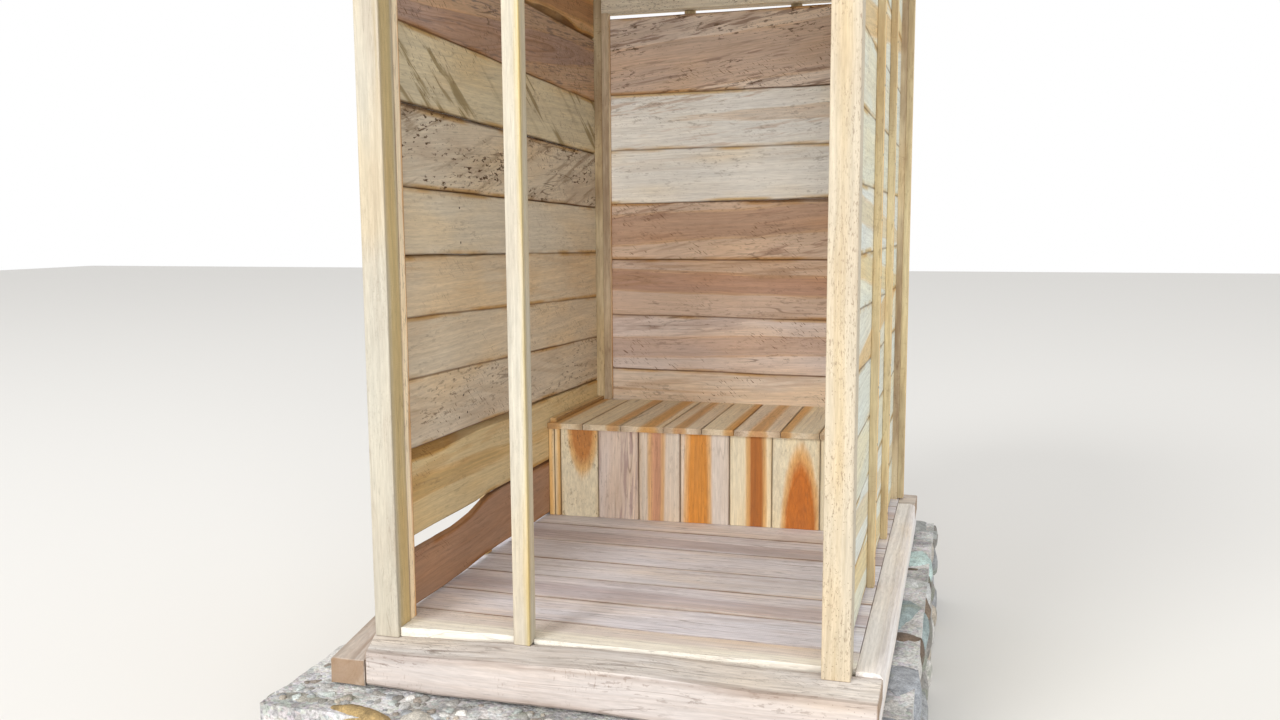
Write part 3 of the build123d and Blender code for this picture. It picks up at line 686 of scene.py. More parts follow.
class HUT_OT_left_wall(bpy.types.Operator):
    """Rows of wide planks on the left, some with waney edges"""
    bl_idname = "hut.left_wall"
    bl_label = "Left wall"

    def execute(self, context):
        def foot(low, high):
            return (lambda s: low(s) + 0.009 * max(0.0, 1.0 - ((s - 0.63) / 0.25) ** 2)
                    + 0.001 * rough(4, s * 14.0),
                    lambda s: high(s) - along_table(FOOT_DROP, s) + 0.0015 * rough(3, s * 12.0))
        wanes = {0: (0.002, lambda s: 0.003 + 0.002 * math.sin(s * 7)),
                 1: (lambda s: 0.006 if s > 0.5 else 0.002,
                     lambda s: along_table(OPEN_WANE, s) + 0.002 * rough(8, s * 20.0)),
                 4: (0.0, lambda s: max(0.0, 0.007 - 0.006 * s) + 0.001 * math.sin(s * 5)),
                 6: (0.002, lambda s: max(0.0, 0.011 - 0.004 * s) + 0.002 * rough(9, s * 9.0)),
                 9: (lambda s: along_table(TOP_WANE, s) + 0.003 * rough(7, s * 22.0), 0.0)}
        side_planks("left_plank", "left_wall_planks", OUTER_BATTEN, LEFT_SEAMS, LEFT_CUTS,
                    {1: (4.0, 1.0)}, {0: foot}, wanes)
        return {"FINISHED"}


class HUT_OT_right_wall(bpy.types.Operator):
    """Rows of pale planks on the right, seen from outside between the battens"""
    bl_idname = "hut.right_wall"
    bl_label = "Right wall"

    def execute(self, context):
        side_planks("right_plank", "right_wall_planks", WIDTH - OUTER_BATTEN - PLANK,
                    RIGHT_SEAMS, RIGHT_CUTS)
        return {"FINISHED"}


class HUT_OT_back_wall(bpy.types.Operator):
    """Wide planks across the back, with a slit below the top rail"""
    bl_idname = "hut.back_wall"
    bl_label = "Back wall"

    def execute(self, context):
        start = POST + FIT
        length = (WIDTH - POST - FIT - start) / MM
        wanes = {5: (0.0, lambda s: 0.018 * max(0.0, s - 0.25) + 0.002 * rough(5, s * 9.0)),
                 6: (lambda s: 0.009 * max(0.0, s - 0.5), 0.0),
                 8: (lambda s: 0.006 * max(0.0, s - 0.4), 0.0)}
        for i, edges in enumerate(plank_rows(BACK_SEAMS, length, (1790, 1800))):
            plank("back_plank", i, "back_wall_planks", BACK_CUTS[i],
                  at(start, DEPTH - OUTER_BATTEN, 0), Axes(X_AXIS, Z_AXIS, -Y_AXIS), length,
                  *edges, wanes, i + 41)
        return {"FINISHED"}


def upright(name, key, node, look, seed=None, sloped=True, slot=None):
    """A post or batten as its node stands, with its head cut to the roof's slope."""
    low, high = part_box(node)
    size = high - low
    sawn(name, key, node, look, low, Axes(Z_AXIS, Y_AXIS, X_AXIS), size.z, 0.0, size.y, size.x,
         far=(lambda w, t: size.z - w * SLOPE) if sloped else None,
         arris=bpy.context.scene.hut_timber.arris, wobble=0.0004, step=0.05, seed=seed, slot=slot)


class HUT_OT_posts(bpy.types.Operator):
    """Four square corner posts and the slim door stud"""
    bl_idname = "hut.posts"
    bl_label = "Posts and stud"

    def execute(self, context):
        cream = Cut("C6BFAE", "CCB87C", 5, (-23, 45), (3, 1), 0.1, 0.1, 0.1)
        speckled = Cut("C6BAA4", "C9B694", 12, (-50, 26), (4, 4), 0.15, 0.45, 0.1)
        streaked = Cut("BFB9A9", "CAB687", 26, (12, 84), (-9, -6), 0.12, 0.15, 0.2)
        # The back posts are written paler than the front posts: painted light that makes up for the
        # shade in the hut's back corners
        hidden = Cut("F6E6C0", "DDB47A", 14, (30, 45), (8, -6), 0.2, 0.25, 0.25)
        upright("front_post_left", "post", "front_left_post", streaked, 3)
        upright("front_post_right", "post", "front_right_post", speckled, 5)
        upright("back_post_left", "batten", "back_left_post", hidden, 8, slot="sapwood_post")
        upright("back_post_right", "batten", "back_right_post", hidden, 9, slot="sapwood_post")
        upright("stud", "post", "door_stud", cream, 13, sloped=False)
        return {"FINISHED"}


class HUT_OT_battens(bpy.types.Operator):
    """Upright battens that the planks are nailed to"""
    bl_idname = "hut.battens"
    bl_label = "Battens"

    def execute(self, context):
        # inner is written paler than outer: painted light that makes up for the shade in the hut's
        # inner corners
        inner = Cut("FFEED0", "DCA874", 15, (20, 22), (4, 3), 0.25, 0.3, 0.22)
        outer = Cut("F2E4B8", "E6BE80", 22, (10, 24), (8, 6), 0.3, 0.25, 0.15)
        for side in ("left_", "right_"):
            for name, node, look, sloped in (
                    ("front_cover_batten", "front_inner_batten", inner, True),
                    ("corner_strip", "corner_batten", outer, True),
                    ("back_cover_batten", "back_inner_batten", inner, False),
                    ("outer_strip_front", "outer_batten_front", outer, True),
                    ("outer_strip_rear", "outer_batten_rear", outer, True),
                    ("back_outer_strip", "back_outer_batten", outer, False)):
                upright(side + name, "batten", side + node, look, sloped=sloped)
        return {"FINISHED"}


class HUT_OT_nails(bpy.types.Operator):
    """Wire nails that hold the battens, and the few that show on the left wall"""
    bl_idname = "hut.nails"
    bl_label = "Nails"

    def execute(self, context):
        radius = context.scene.hut_timber.nail / 2
        side_nodes = "%s_outer_batten_front", "%s_outer_batten_rear"
        for side, out, axis, end, seams, nodes in (
                ("left", -X_AXIS, 0, 0, LEFT_SEAMS, side_nodes),
                ("right", X_AXIS, 0, 1, RIGHT_SEAMS, side_nodes),
                ("back", Y_AXIS, 1, 1, BACK_SEAMS,
                 ("left_%s_outer_batten", "right_%s_outer_batten"))):
            rows = [0] + [sum(pair) / 2 for pair in seams]
            places = []
            for column, node in enumerate(nodes):
                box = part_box(node % side)
                for row, (a, b) in enumerate(zip(rows, rows[1:])):
                    place = (box[0] + box[1]) / 2
                    place.z = HUT.z + (a + b) / 2 / MM
                    place += out.cross(Z_AXIS) * (0.006 * rough(row + 20 * column, 0.5))
                    place[axis] = box[end][axis]
                    places.append(place)
            self.heads(side + "_nails", places, out, radius)
        shown = ((477, 1065), (480, 967), (496, 474), (442, 467), (473, 528))
        self.heads("inner_nails", [at(OUTER_BATTEN + PLANK, y, z) for y, z in shown], X_AXIS,
                   radius)
        return {"FINISHED"}

    def heads(self, name, places, out, radius, sides=10, height=0.0006):
        """Flat round heads that stand a little proud of the wood."""
        points, faces = [], []
        one = out.cross(Z_AXIS).normalized()
        for place in places:
            base = len(points)
            for lift, share in ((-0.0004, 1.0), (height * 0.6, 1.0), (height, 0.8)):
                for k in range(sides):
                    angle = 2 * math.pi * k / sides
                    points.append(place + out * lift + (one * math.cos(angle)
                                  + Z_AXIS * math.sin(angle)) * radius * share)
            for ring in (base, base + sides):
                faces += [(ring + k, ring + (k + 1) % sides, ring + sides + (k + 1) % sides,
                           ring + sides + k) for k in range(sides)]
            faces.append(range(base + 2 * sides, base + 3 * sides))
            faces.append(range(base, base + sides)[::-1])
        put(mesh_object(name, points, faces, finish_of("nail")), FINISHES["nail"][0])


def lying(name, key, node, look, along=X_AXIS, across=Y_AXIS, seed=None):
    """A level timber as its node lies."""
    low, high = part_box(node)
    size = high - low
    sawn(name, key, node, look, Vector((low.x, low.y, high.z)), Axes(along, across, -Z_AXIS),
         size.dot(along), 0.0, size.dot(across), size.z, seed=seed)


def sloping(name, key, node, look, x, width, y0, y1, lift, thick, **more):
    """A roof timber that runs down the slope, lift above the plates' underside."""
    sawn(name, key, node, look, at(x, y0, eaves(y0) + lift + thick),
         Axes(DOWN, X_AXIS, -X_AXIS.cross(DOWN)), (y1 - y0) / MM / COS, 0.0, width / MM,
         thick * COS / MM, **more)


ROOF_FRONT, ROOF_BACK, ROOF_SIDE = 150.0, 90.0, 100.0
PLATE_FRONT, PLATE_BACK = ROOF_FRONT - 40, ROOF_BACK - 30
PLATE, PURLIN, ROOF_BOARD, ROOF_BATTEN = 50.0, 45.0, 20.0, 15.0
ROOF_BOARDS, ROOF_BATTEN_WIDTH, ROOF_GAP = 8, 45.0, 3.0


class HUT_OT_plates(bpy.types.Operator):
    """Top rails between the posts, plates on their heads and purlins across"""
    bl_idname = "hut.plates"
    bl_label = "Rails, plates and purlins"

    def execute(self, context):
        lying("front_rail", "post", "front_top_rail",
              Cut("D8CDB6", "CDB184", 10, (20, 50), (8, 4), 0.2, 0.5, 0.15))
        # The back rail is written paler than the front rail of the same timber: painted light that
        # makes up for the shade inside the hut
        lying("back_rail", "post", "back_top_rail",
              Cut("F6EEDA", "DCBE8C", 10, (20, 50), (8, 4), 0.2, 0.7, 0.15))
        rafter = Cut("DECDAA", "C49C66", 20, (20, 45), (8, 4), 0.25, 0.35, 0.25)
        for side, x in (("left", 0.0), ("right", WIDTH - POST)):
            sloping(side + "_plate", "post", side + "_top_plate", rafter, x, POST, -PLATE_FRONT,
                    DEPTH + PLATE_BACK, 0.0, PLATE)
        for i in ("1", "2", "3"):
            low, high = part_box("roof_purlin_" + i)
            y0 = (low.y - HUT.y) * MM
            sawn("purlin_" + i, "roof", "roof_purlin_" + i, rafter,
                 at((low.x - HUT.x) * MM, y0, eaves(y0) + PLATE + PURLIN),
                 Axes(X_AXIS, DOWN, -X_AXIS.cross(DOWN)), high.x - low.x, 0.0,
                 PURLIN / MM / COS, PURLIN * COS / MM)
        return {"FINISHED"}


class HUT_OT_roof(bpy.types.Operator):
    """Roof boards that run down the slope, with battens over their joints"""
    bl_idname = "hut.roof"
    bl_label = "Roof"

    def execute(self, context):
        looks = [Cut("D0BD9C", "B08C62", 25, (10, 50), (12, 6), 0.3, 0.3, 0.35),
                 Cut("D8C8A8", "BC966A", 20, (-20, 60), (-10, 6), 0.25, 0.4, 0.3),
                 Cut("C8B292", "A6825A", 40, (0, 40), (16, 8), 0.35, 0.3, 0.4)]
        step = (WIDTH + 2 * ROOF_SIDE) / ROOF_BOARDS
        ends = -ROOF_FRONT, DEPTH + ROOF_BACK
        lift = PLATE + PURLIN
        for i in range(ROOF_BOARDS):
            sloping("roof_board_%d" % (i + 1), "roof", "roof_boards", looks[i % 3],
                    -ROOF_SIDE + i * step + ROOF_GAP / 2, step - ROOF_GAP, *ends, lift,
                    ROOF_BOARD, seed=60 + i, wobble=0.001)
        for i in range(1, ROOF_BOARDS):
            sloping("roof_strip_%d" % i, "roof", "roof_battens", looks[(i + 1) % 3],
                    -ROOF_SIDE + i * step - ROOF_BATTEN_WIDTH / 2, ROOF_BATTEN_WIDTH, *ends,
                    lift + ROOF_BOARD, ROOF_BATTEN, seed=80 + i)
        return {"FINISHED"}


# Widths of the floor boards behind the first one, as shares; the first one's waney front edge
# as (place across the hut, distance behind the posts' face); seams between boards
FLOOR_WIDTHS = [158, 162, 148, 176, 168, 160, 172, 166, 158]
FLOOR_WANE = [(-7, 10), (66, 11), (180, 24), (330, 34), (440, 27), (560, 30), (690, 36),
              (860, 44), (1030, 52), (1130, 50), (1207, 44)]
FLOOR_ENDS = (-7.0, 1207.0)
FIRST_BOARD_END, FLOOR_GAP = 156.0, 1.5
STUD = (380.0, 425.0)
LEVEL = Axes(X_AXIS, Y_AXIS, -Z_AXIS)


class HUT_OT_floor(bpy.types.Operator):
    """Worn floor boards, the first one with a waney sapwood edge"""
    bl_idname = "hut.floor"
    bl_label = "Floor"

    def execute(self, context):
        looks = [Cut("F4EEF2", "D8CACA", 40, (10, 45), (10, 6), 0.35, 0.15, 0.5,
                     (3, 16, 0.4, "B4A6AA")),
                 Cut("EFE8EC", "D4C4C4", 60, (-20, 40), (-12, 6), 0.35, 0.15, 0.55,
                     (-2, 12, 0.4, "AC9CA0")),
                 Cut("F4EEF0", "DCCCCC", 30, (20, 50), (16, 6), 0.35, 0.15, 0.45,
                     (2, 20, 0.4, "B8A8A8"))]
        y = FIRST_BOARD_END
        for i, width in enumerate(FLOOR_WIDTHS):
            board = (DEPTH - FIRST_BOARD_END) * width / float(sum(FLOOR_WIDTHS))
            sawn("floor_board_%02d" % (i + 2), "floor", "floor_boards", looks[i % 3],
                 at(FLOOR_ENDS[0] + 1, 0, 0), LEVEL, (FLOOR_ENDS[1] - FLOOR_ENDS[0] - 2) / MM,
                 y / MM, (y + board - FLOOR_GAP) / MM, BOARD / MM, wobble=0.0008, seed=100 + i)
            y += board
        self.first_board()
        return {"FINISHED"}

    def first_board(self):
        """The front board in runs between the posts and the stud, notched at each of them."""
        look = Cut("F8F2E4", "E2D6CE", 105, (60, 85), (0, 2), 0.25, 0.2, 0.25)
        runs = [(FLOOR_ENDS[0], POST + 1, POST + 1), (POST + 1, STUD[0], None), (*STUD, 45.0),
                (STUD[1], WIDTH - POST - 1, None), (WIDTH - POST - 1, FLOOR_ENDS[1], POST + 1)]
        for i, (x0, x1, front) in enumerate(runs):
            def low(s, x0=x0, front=front):
                x = x0 + s * MM
                wavy = along_table(FLOOR_WANE, x) + 2.5 * rough(3, x / 60.0, 0.2)
                return (front if front is not None else wavy) / MM
            sawn("floor_board_01_%d" % (i + 1), "post", "floor_boards", look, at(x0, 0, 0), LEVEL,
                 (x1 - x0) / MM, low, (FIRST_BOARD_END - FLOOR_GAP) / MM, BOARD / MM, step=0.02,
                 arris=0.0008, wobble=0.0003, seed=120, slot="floor_wood")


SILL_HEIGHT, LAP, LAP_STOP = 115.0, 57.0, 45.0
FRONT_SILL, BACK_SILL = (-104.0, 46.0), (1626.0, 1776.0)
LEFT_SILL, RIGHT_SILL = (-69.0, 61.0), (1139.0, 1269.0)
SILL_TOP = [(-40, -24), (90, -24), (370, -9), (435, -9), (560, -4), (740, -4), (1000, -12),
            (1104, -10), (1269, -10)]
FRONT_REBATE = [(FLOOR_ENDS[0], 108.0), (FLOOR_ENDS[1], 144.0)]


def skew_x(y):
    """Left end of the front sill."""
    return 30.0 - 50.0 * (y - FRONT_SILL[0]) / (FRONT_SILL[1] - FRONT_SILL[0])


def worn_arris(width, wear, top):
    """Corners of an outer arris that is rounded by wear."""
    return [(width - wear * 1.6, top), (width - wear * 0.5, top + wear * 0.35),
            (width, top + wear)]


class HUT_OT_sills(bpy.types.Operator):
    """Hewn sills round the floor, lapped at the corners"""
    bl_idname = "hut.sills"
    bl_label = "Sills"

    def execute(self, context):
        self.front()
        self.left()
        self.right()
        self.back()
        return {"FINISHED"}

    def hewn(self, name, node, look, start, axes, length, outline, steps, **more):
        swept(name, "sill", node, look, start, axes, length / MM,
              lambda s: [(w / MM, t / MM, rim) for w, t, rim in outline(s * MM)],
              steps=[c / MM for c in steps], relief=0.0022, step=0.03, arris=0.003, **more)

    def front(self):
        """Worn front arris, wavy lower edge, a rebate behind for the floor."""
        first = skew_x(FRONT_SILL[1])
        width = FRONT_SILL[1] - FRONT_SILL[0]

        def outline(s):
            x = first + s
            top = -along_table(SILL_TOP, x)
            low = SILL_HEIGHT - 4.5 * (0.5 + rough(2, x / 170.0, 0.4)) - 1.5 * rough(4, x / 45.0)
            inner = along_table(FRONT_REBATE, x)
            lap = LAP if x > RIGHT_SILL[0] else SILL_HEIGHT - FIT
            wear = 9.0 + 5.0 * rough(6, x / 120.0)
            corners = [(0, top + wear), (0, low - 6), (5, low), (LAP_STOP - 8, SILL_HEIGHT),
                       (LAP_STOP - 4, lap), (width, lap), (width, BOARD), (inner, BOARD),
                       (inner, top), (wear * 1.3 + 6, top + 1), (wear * 0.5, top + wear * 0.35)]
            return lined(corners, (4, 1, 2, 1, 4, 1, 1, 1, 5, 1, 1))

        def near(w, t):
            return (skew_x(FRONT_SILL[0] + w * MM) - first) / MM
        look = Cut("E2DCD6", "BEB2AA", 86, (-40, 86), (4, 0), 0.3, 0.35, 0.45,
                   (2, 12, 0.35, "A09488"))
        self.hewn("sill_front", "front_sill", look, at(first, FRONT_SILL[0], 0), LEVEL,
                  RIGHT_SILL[1] - first, outline, [RIGHT_SILL[0] - first], near=near, seed=31)

    def left(self):
        """Its front end is hewn down and shows past the end of the front sill."""
        width, start = LEFT_SILL[1] - LEFT_SILL[0], FRONT_SILL[0]
        tip, slope, wear = 48.0, 305.0, 6.0
        ledge = FLOOR_ENDS[0] - LEFT_SILL[0]

        def outline(s):
            y = start + s
            top, outer, inner = BOARD, max(0.0, tip * (1 - s / slope)), width
            if y > BACK_SILL[0]:
                top = outer = LAP + FIT
            elif y <= FRONT_SILL[1]:
                inner = skew_x(y) - 2.0 - LEFT_SILL[0]
            corners = [(0, outer + wear), (0, SILL_HEIGHT), (inner, SILL_HEIGHT),
                       (inner, max(top, outer)), (ledge + 1, max(top, outer)), (ledge, outer),
                       (wear, outer)]
            return lined(corners, (3, 4, 2, 2, 1, 2, 1))
        look = Cut("D3C8BA", "B0A294", 60, (30, 70), (10, 6), 0.5, 0.3, 0.6)
        self.hewn("sill_left", "left_sill", look, at(LEFT_SILL[0], start, 0),
                  Axes(Y_AXIS, X_AXIS, -Z_AXIS), BACK_SILL[1] - start, outline,
                  [FRONT_SILL[1] - start, BACK_SILL[0] - start], seed=33)

    def right(self):
        """Rounded outer arris; a tongue under each of the two cross sills."""
        width, start = RIGHT_SILL[1] - RIGHT_SILL[0], FRONT_SILL[0] + LAP_STOP
        ledge = FLOOR_ENDS[1] - RIGHT_SILL[0]

        def outline(s):
            y = start + s
            middle = FRONT_SILL[1] < y < BACK_SILL[0]
            top, shelf = (0.0, BOARD) if middle else (LAP + FIT, LAP + FIT)
            corners = [(0, shelf), (ledge, shelf), (ledge + 0.5, top),
                       *worn_arris(width, 11.0 + 4.0 * rough(8, y / 150.0), top),
                       (width, SILL_HEIGHT - 3), (width - 4, SILL_HEIGHT), (0, SILL_HEIGHT)]
            return lined(corners, (2, 1, 2, 1, 1, 3, 1, 3, 2))
        look = Cut("FFFAF6", "F2E8E2", 30, (30, 80), (-8, 6), 0.2, 0.1, 0.12)
        self.hewn("sill_right", "right_sill", look, at(RIGHT_SILL[0], start, 0),
                  Axes(Y_AXIS, X_AXIS, -Z_AXIS), BACK_SILL[1] - start, outline,
                  [FRONT_SILL[1] - start, BACK_SILL[0] - start], seed=35)

    def back(self):
        """Lies over both side sills, with a shelf for the last floor board."""
        start, width = LEFT_SILL[0], BACK_SILL[1] - BACK_SILL[0]
        laps = [LEFT_SILL[1] - start, RIGHT_SILL[0] - start]
        floor = [end - start for end in FLOOR_ENDS]
        ledge = DEPTH - BACK_SILL[0]

        def outline(s):
            lap = SILL_HEIGHT - FIT if laps[0] < s < laps[1] else LAP
            shelf = BOARD if floor[0] < s < floor[1] else 1.5
            corners = [(0, shelf), (ledge, shelf), (ledge + 1, 0),
                       *worn_arris(width, 9.0 + 3.0 * rough(9, s / 150.0), 0), (width, lap),
                       (0, lap)]
            return lined(corners, (3, 1, 1, 1, 1, 3, 4, 2))
        look = Cut("D6CABE", "BBAA9A", 50, (0, 75), (10, 6), 0.4, 0.3, 0.5)
        self.hewn("sill_back", "back_sill", look, at(start, BACK_SILL[0], 0), LEVEL,
                  RIGHT_SILL[1] - start, outline, laps + floor, seed=37)


# The bench: its ends and rear along the hut, how far its face recedes from right to left, and
# its heights
BENCH_LEFT, BENCH_RIGHT, BENCH_REAR = 36.0, WIDTH - 36.0, BACK_POST_FACE + 30.0
BENCH_DEPTH, BENCH_SKEW, NOSING = 569.0, 55.0, 12.0
BENCH_TOP, SEAT_BOARD, STRIP = 330.0, 20.0, 22.0


def bench_face(x):
    """Distance from the hut's front to the bench's face."""
    share = (x - BENCH_LEFT) / (BENCH_RIGHT - BENCH_LEFT)
    return BENCH_REAR - BENCH_DEPTH + share * BENCH_SKEW


def bench_seams(shares):
    """Places of the bench's seams, given as shares of its width."""
    return [BENCH_LEFT + share * (BENCH_RIGHT - BENCH_LEFT) for share in shares]


def skewed(angle):
    """Direction of the bench's face in plan."""
    return Vector((math.cos(angle), math.sin(angle), 0.0))


class HUT_OT_bench(bpy.types.Operator):
    """Bench across the back: upright front boards and a board seat"""
    bl_idname = "hut.bench"
    bl_label = "Bench"

    def execute(self, context):
        self.face()
        self.seat()
        self.hidden()
        return {"FINISHED"}

    def face(self):
        """Upright boards between pairs of narrow strips."""
        front = [
            Cut("DCCEB0", "B87A40", 44, (14, 96), (0, -290), 0.25, 0.45, 0.2),
            Cut("CFC0B6", "B49488", 25, (0, 40), (10, 10), 0.3, 0.2, 0.4,
                (2, 14, 0.5, "8C7078")),
            Cut("D6C6B4", "C89474", 20, (-14, 10), (10, 0), 0.25, 0.15, 0.3),
            Cut("D8CABC", "D08A3C", 38, (-26, 6), (6, 40), 0.3, 0.2, 0.2),
            Cut("E0D2B4", "A8662E", 25, (20, 4), (-6, 8), 0.3, 0.15, 0.15),
            Cut("DCD0B4", "BC6E2C", 54, (16, 0), (0, 236), 0.35, 0.2, 0.15),
            Cut("DFD2B4", "CC8C4C", 20, (30, 30), (8, 10), 0.25, 0.12, 0.1),
        ]
        strips = [Cut("DED0B0", "C8A468", 6, (-8, 8), (4, 4), 0.2, 0.5, 0.2),
                  Cut("E2D4B4", "C89C60", 5, (8, 6), (4, 4), 0.25, 0.3, 0.2),
                  Cut("DCCEB0", "D0A468", 6, (12, 10), (4, 4), 0.2, 0.2, 0.15)]
        angle = math.atan2(BENCH_SKEW, BENCH_RIGHT - BENCH_LEFT)
        axes = Axes(Z_AXIS, skewed(angle), Vector((-math.sin(angle), math.cos(angle), 0.0)))

        def stand(name, node, look, x0, x1, thick, seed):
            """An upright piece of the bench's face between two places along it."""
            sawn(name, "bench", node, look, at(x0 + 0.75, bench_face(x0 + 0.75), FIT), axes,
                 (BENCH_TOP - SEAT_BOARD - 1.0) / MM, 0.0, (x1 - x0 - 1.5) / MM / math.cos(angle),
                 thick, step=0.05, wobble=0.0004, seed=seed)
        for side, x0 in (("left", BENCH_LEFT), ("right", BENCH_RIGHT - 2 * STRIP)):
            for i in range(2):
                stand("bench_%s_strip_%d" % (side, i + 1), "bench_strips_" + side,
                      strips[i if side == "left" else 2 - i], x0 + STRIP * i,
                      x0 + STRIP * (i + 1), STRIP / MM, 180 + i)
        edges = [BENCH_LEFT + 2 * STRIP,
                 *bench_seams([0.160, 0.288, 0.417, 0.567, 0.694, 0.835]),
                 BENCH_RIGHT - 2 * STRIP]
        for i, (a, b) in enumerate(zip(edges, edges[1:])):
            stand("bench_front_%d" % (i + 1), "bench_front_boards", front[i], a, b, 0.018,
                  140 + i)

    def seat(self):
        """Boards from front to back; the outer two end at the posts."""
        # The seat boards are written paler than their wood: painted light that makes up for the
        # shade the roof casts on them
        looks = [Cut(sap, heart, radius, pith, (8, 6), 0.25, 0.2, 0.3)
                 for sap, heart, radius, pith in (
                     ("F0E2C6", "DAB07A", 20, (-44, 10)), ("F2E6CC", "D8AA7A", 12, (40, 8)),
                     ("F0E2CA", "E2AE68", 30, (20, 29)), ("EEDEC6", "D2A074", 12, (-10, 12)),
                     ("F4E6CA", "E0AC6A", 22, (50, 10)), ("EEDEC8", "D8A676", 22, (0, 21)),
                     ("F2E4C8", "DEAE70", 12, (-50, 10)), ("F0E0C4", "D6A26A", 22, (10, 20)),
                     ("ECDCC0", "DAA874", 12, (-20, 10)))]
        start = bench_face(BENCH_LEFT) - NOSING
        edges = [BENCH_LEFT,
                 *bench_seams([0.114, 0.234, 0.367, 0.485, 0.582, 0.720, 0.833, 0.926]),
                 BENCH_RIGHT]
        for i, (a, b) in enumerate(zip(edges, edges[1:])):
            x0, x1 = a + 0.75, b - 0.75

            def near(w, t, x0=x0):
                return (bench_face(x0 + w * MM) - NOSING - start) / MM
            back = BACK_POST_FACE if i in (0, 8) else BENCH_REAR
            sawn("bench_seat_%d" % (i + 1), "bench", "bench_top_boards", looks[i],
                 at(x0, start, BENCH_TOP), Axes(Y_AXIS, X_AXIS, -Z_AXIS), (back - start) / MM,
                 0.0, (x1 - x0) / MM, SEAT_BOARD / MM, near=near, step=0.06, wobble=0.0004,
                 seed=160 + i)

    def hidden(self):
        """Rails under the seat and the batten that lies along the left wall."""
        look = Cut("DCC7A0", "C29A62", 20, (10, 30), (8, 6), 0.3, 0.3, 0.3)
        lying("bench_wall_strip", "bench", "bench_wall_batten", look, Y_AXIS, X_AXIS, 191)
        lying("bench_rear_rail", "bench", "bench_back_rail", look)
        low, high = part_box("bench_front_rail")
        skew = BENCH_SKEW / MM
        angle = math.atan2(skew, high.x - low.x)
        run = skewed(angle)
        sawn("bench_fore_rail", "bench", "bench_front_rail", look,
             Vector((low.x, low.y, high.z)), Axes(run, run.cross(-Z_AXIS), -Z_AXIS),
             (high.x - low.x) / math.cos(angle), 0.0, high.y - low.y - skew, high.z - low.z,
             seed=193)


PLINTH_HEIGHT, PLINTH_BATTER = 300.0, 12.0
PLINTH_LOW, PLINTH_HIGH = (-199.0, -264.0), (1354.0, 1851.0)
STONE_TINTS = ["BCC2BE", "C4C2BE", "A0958A", "A8AAAC", "D6D3CE", "928E88", "B6AC9E", "ACA9A4"]
# Stones that show in the photograph: place along their side, length, tint
SHOWN_STONES = {
    "right": [(-120, 205, "ABAEB4"), (90, 100, "D2D0CC"), (196, 210, "AAAEB4"),
              (412, 155, "DCD9D4"), (576, 72, "6E5E50"), (655, 258, "9AA8A8"),
              (922, 84, "7C6C5C"), (1012, 180, "C8C9C8"), (1200, 56, "6A5F52"),
              (1262, 190, "BCD0CC"), (1460, 200, "B5AFA6"), (1668, 170, "A9ABA8")],
    "front": [(-190, 180, "A09C92"), (0, 182, "A88E60"), (190, 96, "B9B4AA"),
              (292, 62, "A87268"), (362, 210, "B5B2AA"), (580, 150, "C6C2B8"),
              (738, 220, "A3A19B"), (966, 175, "BBB7AE"), (1150, 195, "AFAFAC")]}


def block_grid(cells):
    """Points and faces of a cube from -1 to 1 whose sides are cut into cells."""
    places, faces, index = [], [], {}

    def corner(place):
        if place not in index:
            index[place] = len(places)
            places.append(Vector(place) / cells)
        return index[place]
    for axis in range(3):
        for sign in (-cells, cells):
            for i in range(-cells, cells, 2):
                for j in range(-cells, cells, 2):
                    ring = []
                    for a, b in ((i, j), (i + 2, j), (i + 2, j + 2), (i, j + 2)):
                        place = [0, 0, 0]
                        place[axis], place[(axis + 1) % 3], place[(axis + 2) % 3] = sign, a, b
                        ring.append(corner(tuple(place)))
                    faces.append(ring if sign > 0 else ring[::-1])
    return places, faces


class Rubble:
    """Stones gathered into one mesh."""

    def __init__(self, seed):
        self.rng = random.Random(seed)
        self.points, self.faces, self.tints = [], [], []

    def stone(self, low, high, tint, cells=7, spread=0.0, foot=None):
        """A split stone inside a box given in millimetres, with a few flat faces."""
        rng = self.rng
        centre = at(*[(a + b) / 2 for a, b in zip(low, high)])
        half = Vector([(b - a) / 2 / MM for a, b in zip(low, high)])
        turn = Matrix.Rotation(rng.uniform(-spread, spread), 3, "Z")
        cuts = []
        for _ in range(8):
            side = Vector([rng.gauss(0, 1) for _ in range(3)]).normalized()
            cuts.append((side, rng.uniform(0.86, 1.12)))
        seed = rng.uniform(0, 90)
        tone = rng.uniform(0.86, 1.12)
        places, faces = block_grid(cells)
        base = len(self.points)
        for place in places:
            point = place.lerp(place.normalized() * 1.22, 0.38)
            for side, reach in cuts:
                over = point.dot(side) - reach
                if over > 0:
                    point = point - side * over
            point = Vector([a * b for a, b in zip(point, half)])
            point += point.normalized() * 0.05 * min(half) * rough(seed, *(point * 34.0))
            point = centre + turn @ point
            if foot is not None:
                point.z = max(point.z, foot)
            self.points.append(point)
        self.faces += [tuple(base + i for i in face) for face in faces]
        self.tints += [(*[min(1.0, c * tone) for c in linear(tint)[:3]], 1.0)] * len(places)

    def piece(self, name):
        made = mesh_object(name, self.points, self.faces, finish_of("stone"))
        paint(made.data, "stone", "FLOAT_COLOR", self.tints)
        made.data.polygons.foreach_set("use_smooth", [True] * len(self.faces))
        put(made, "rubble_stone", "stone_plinth")


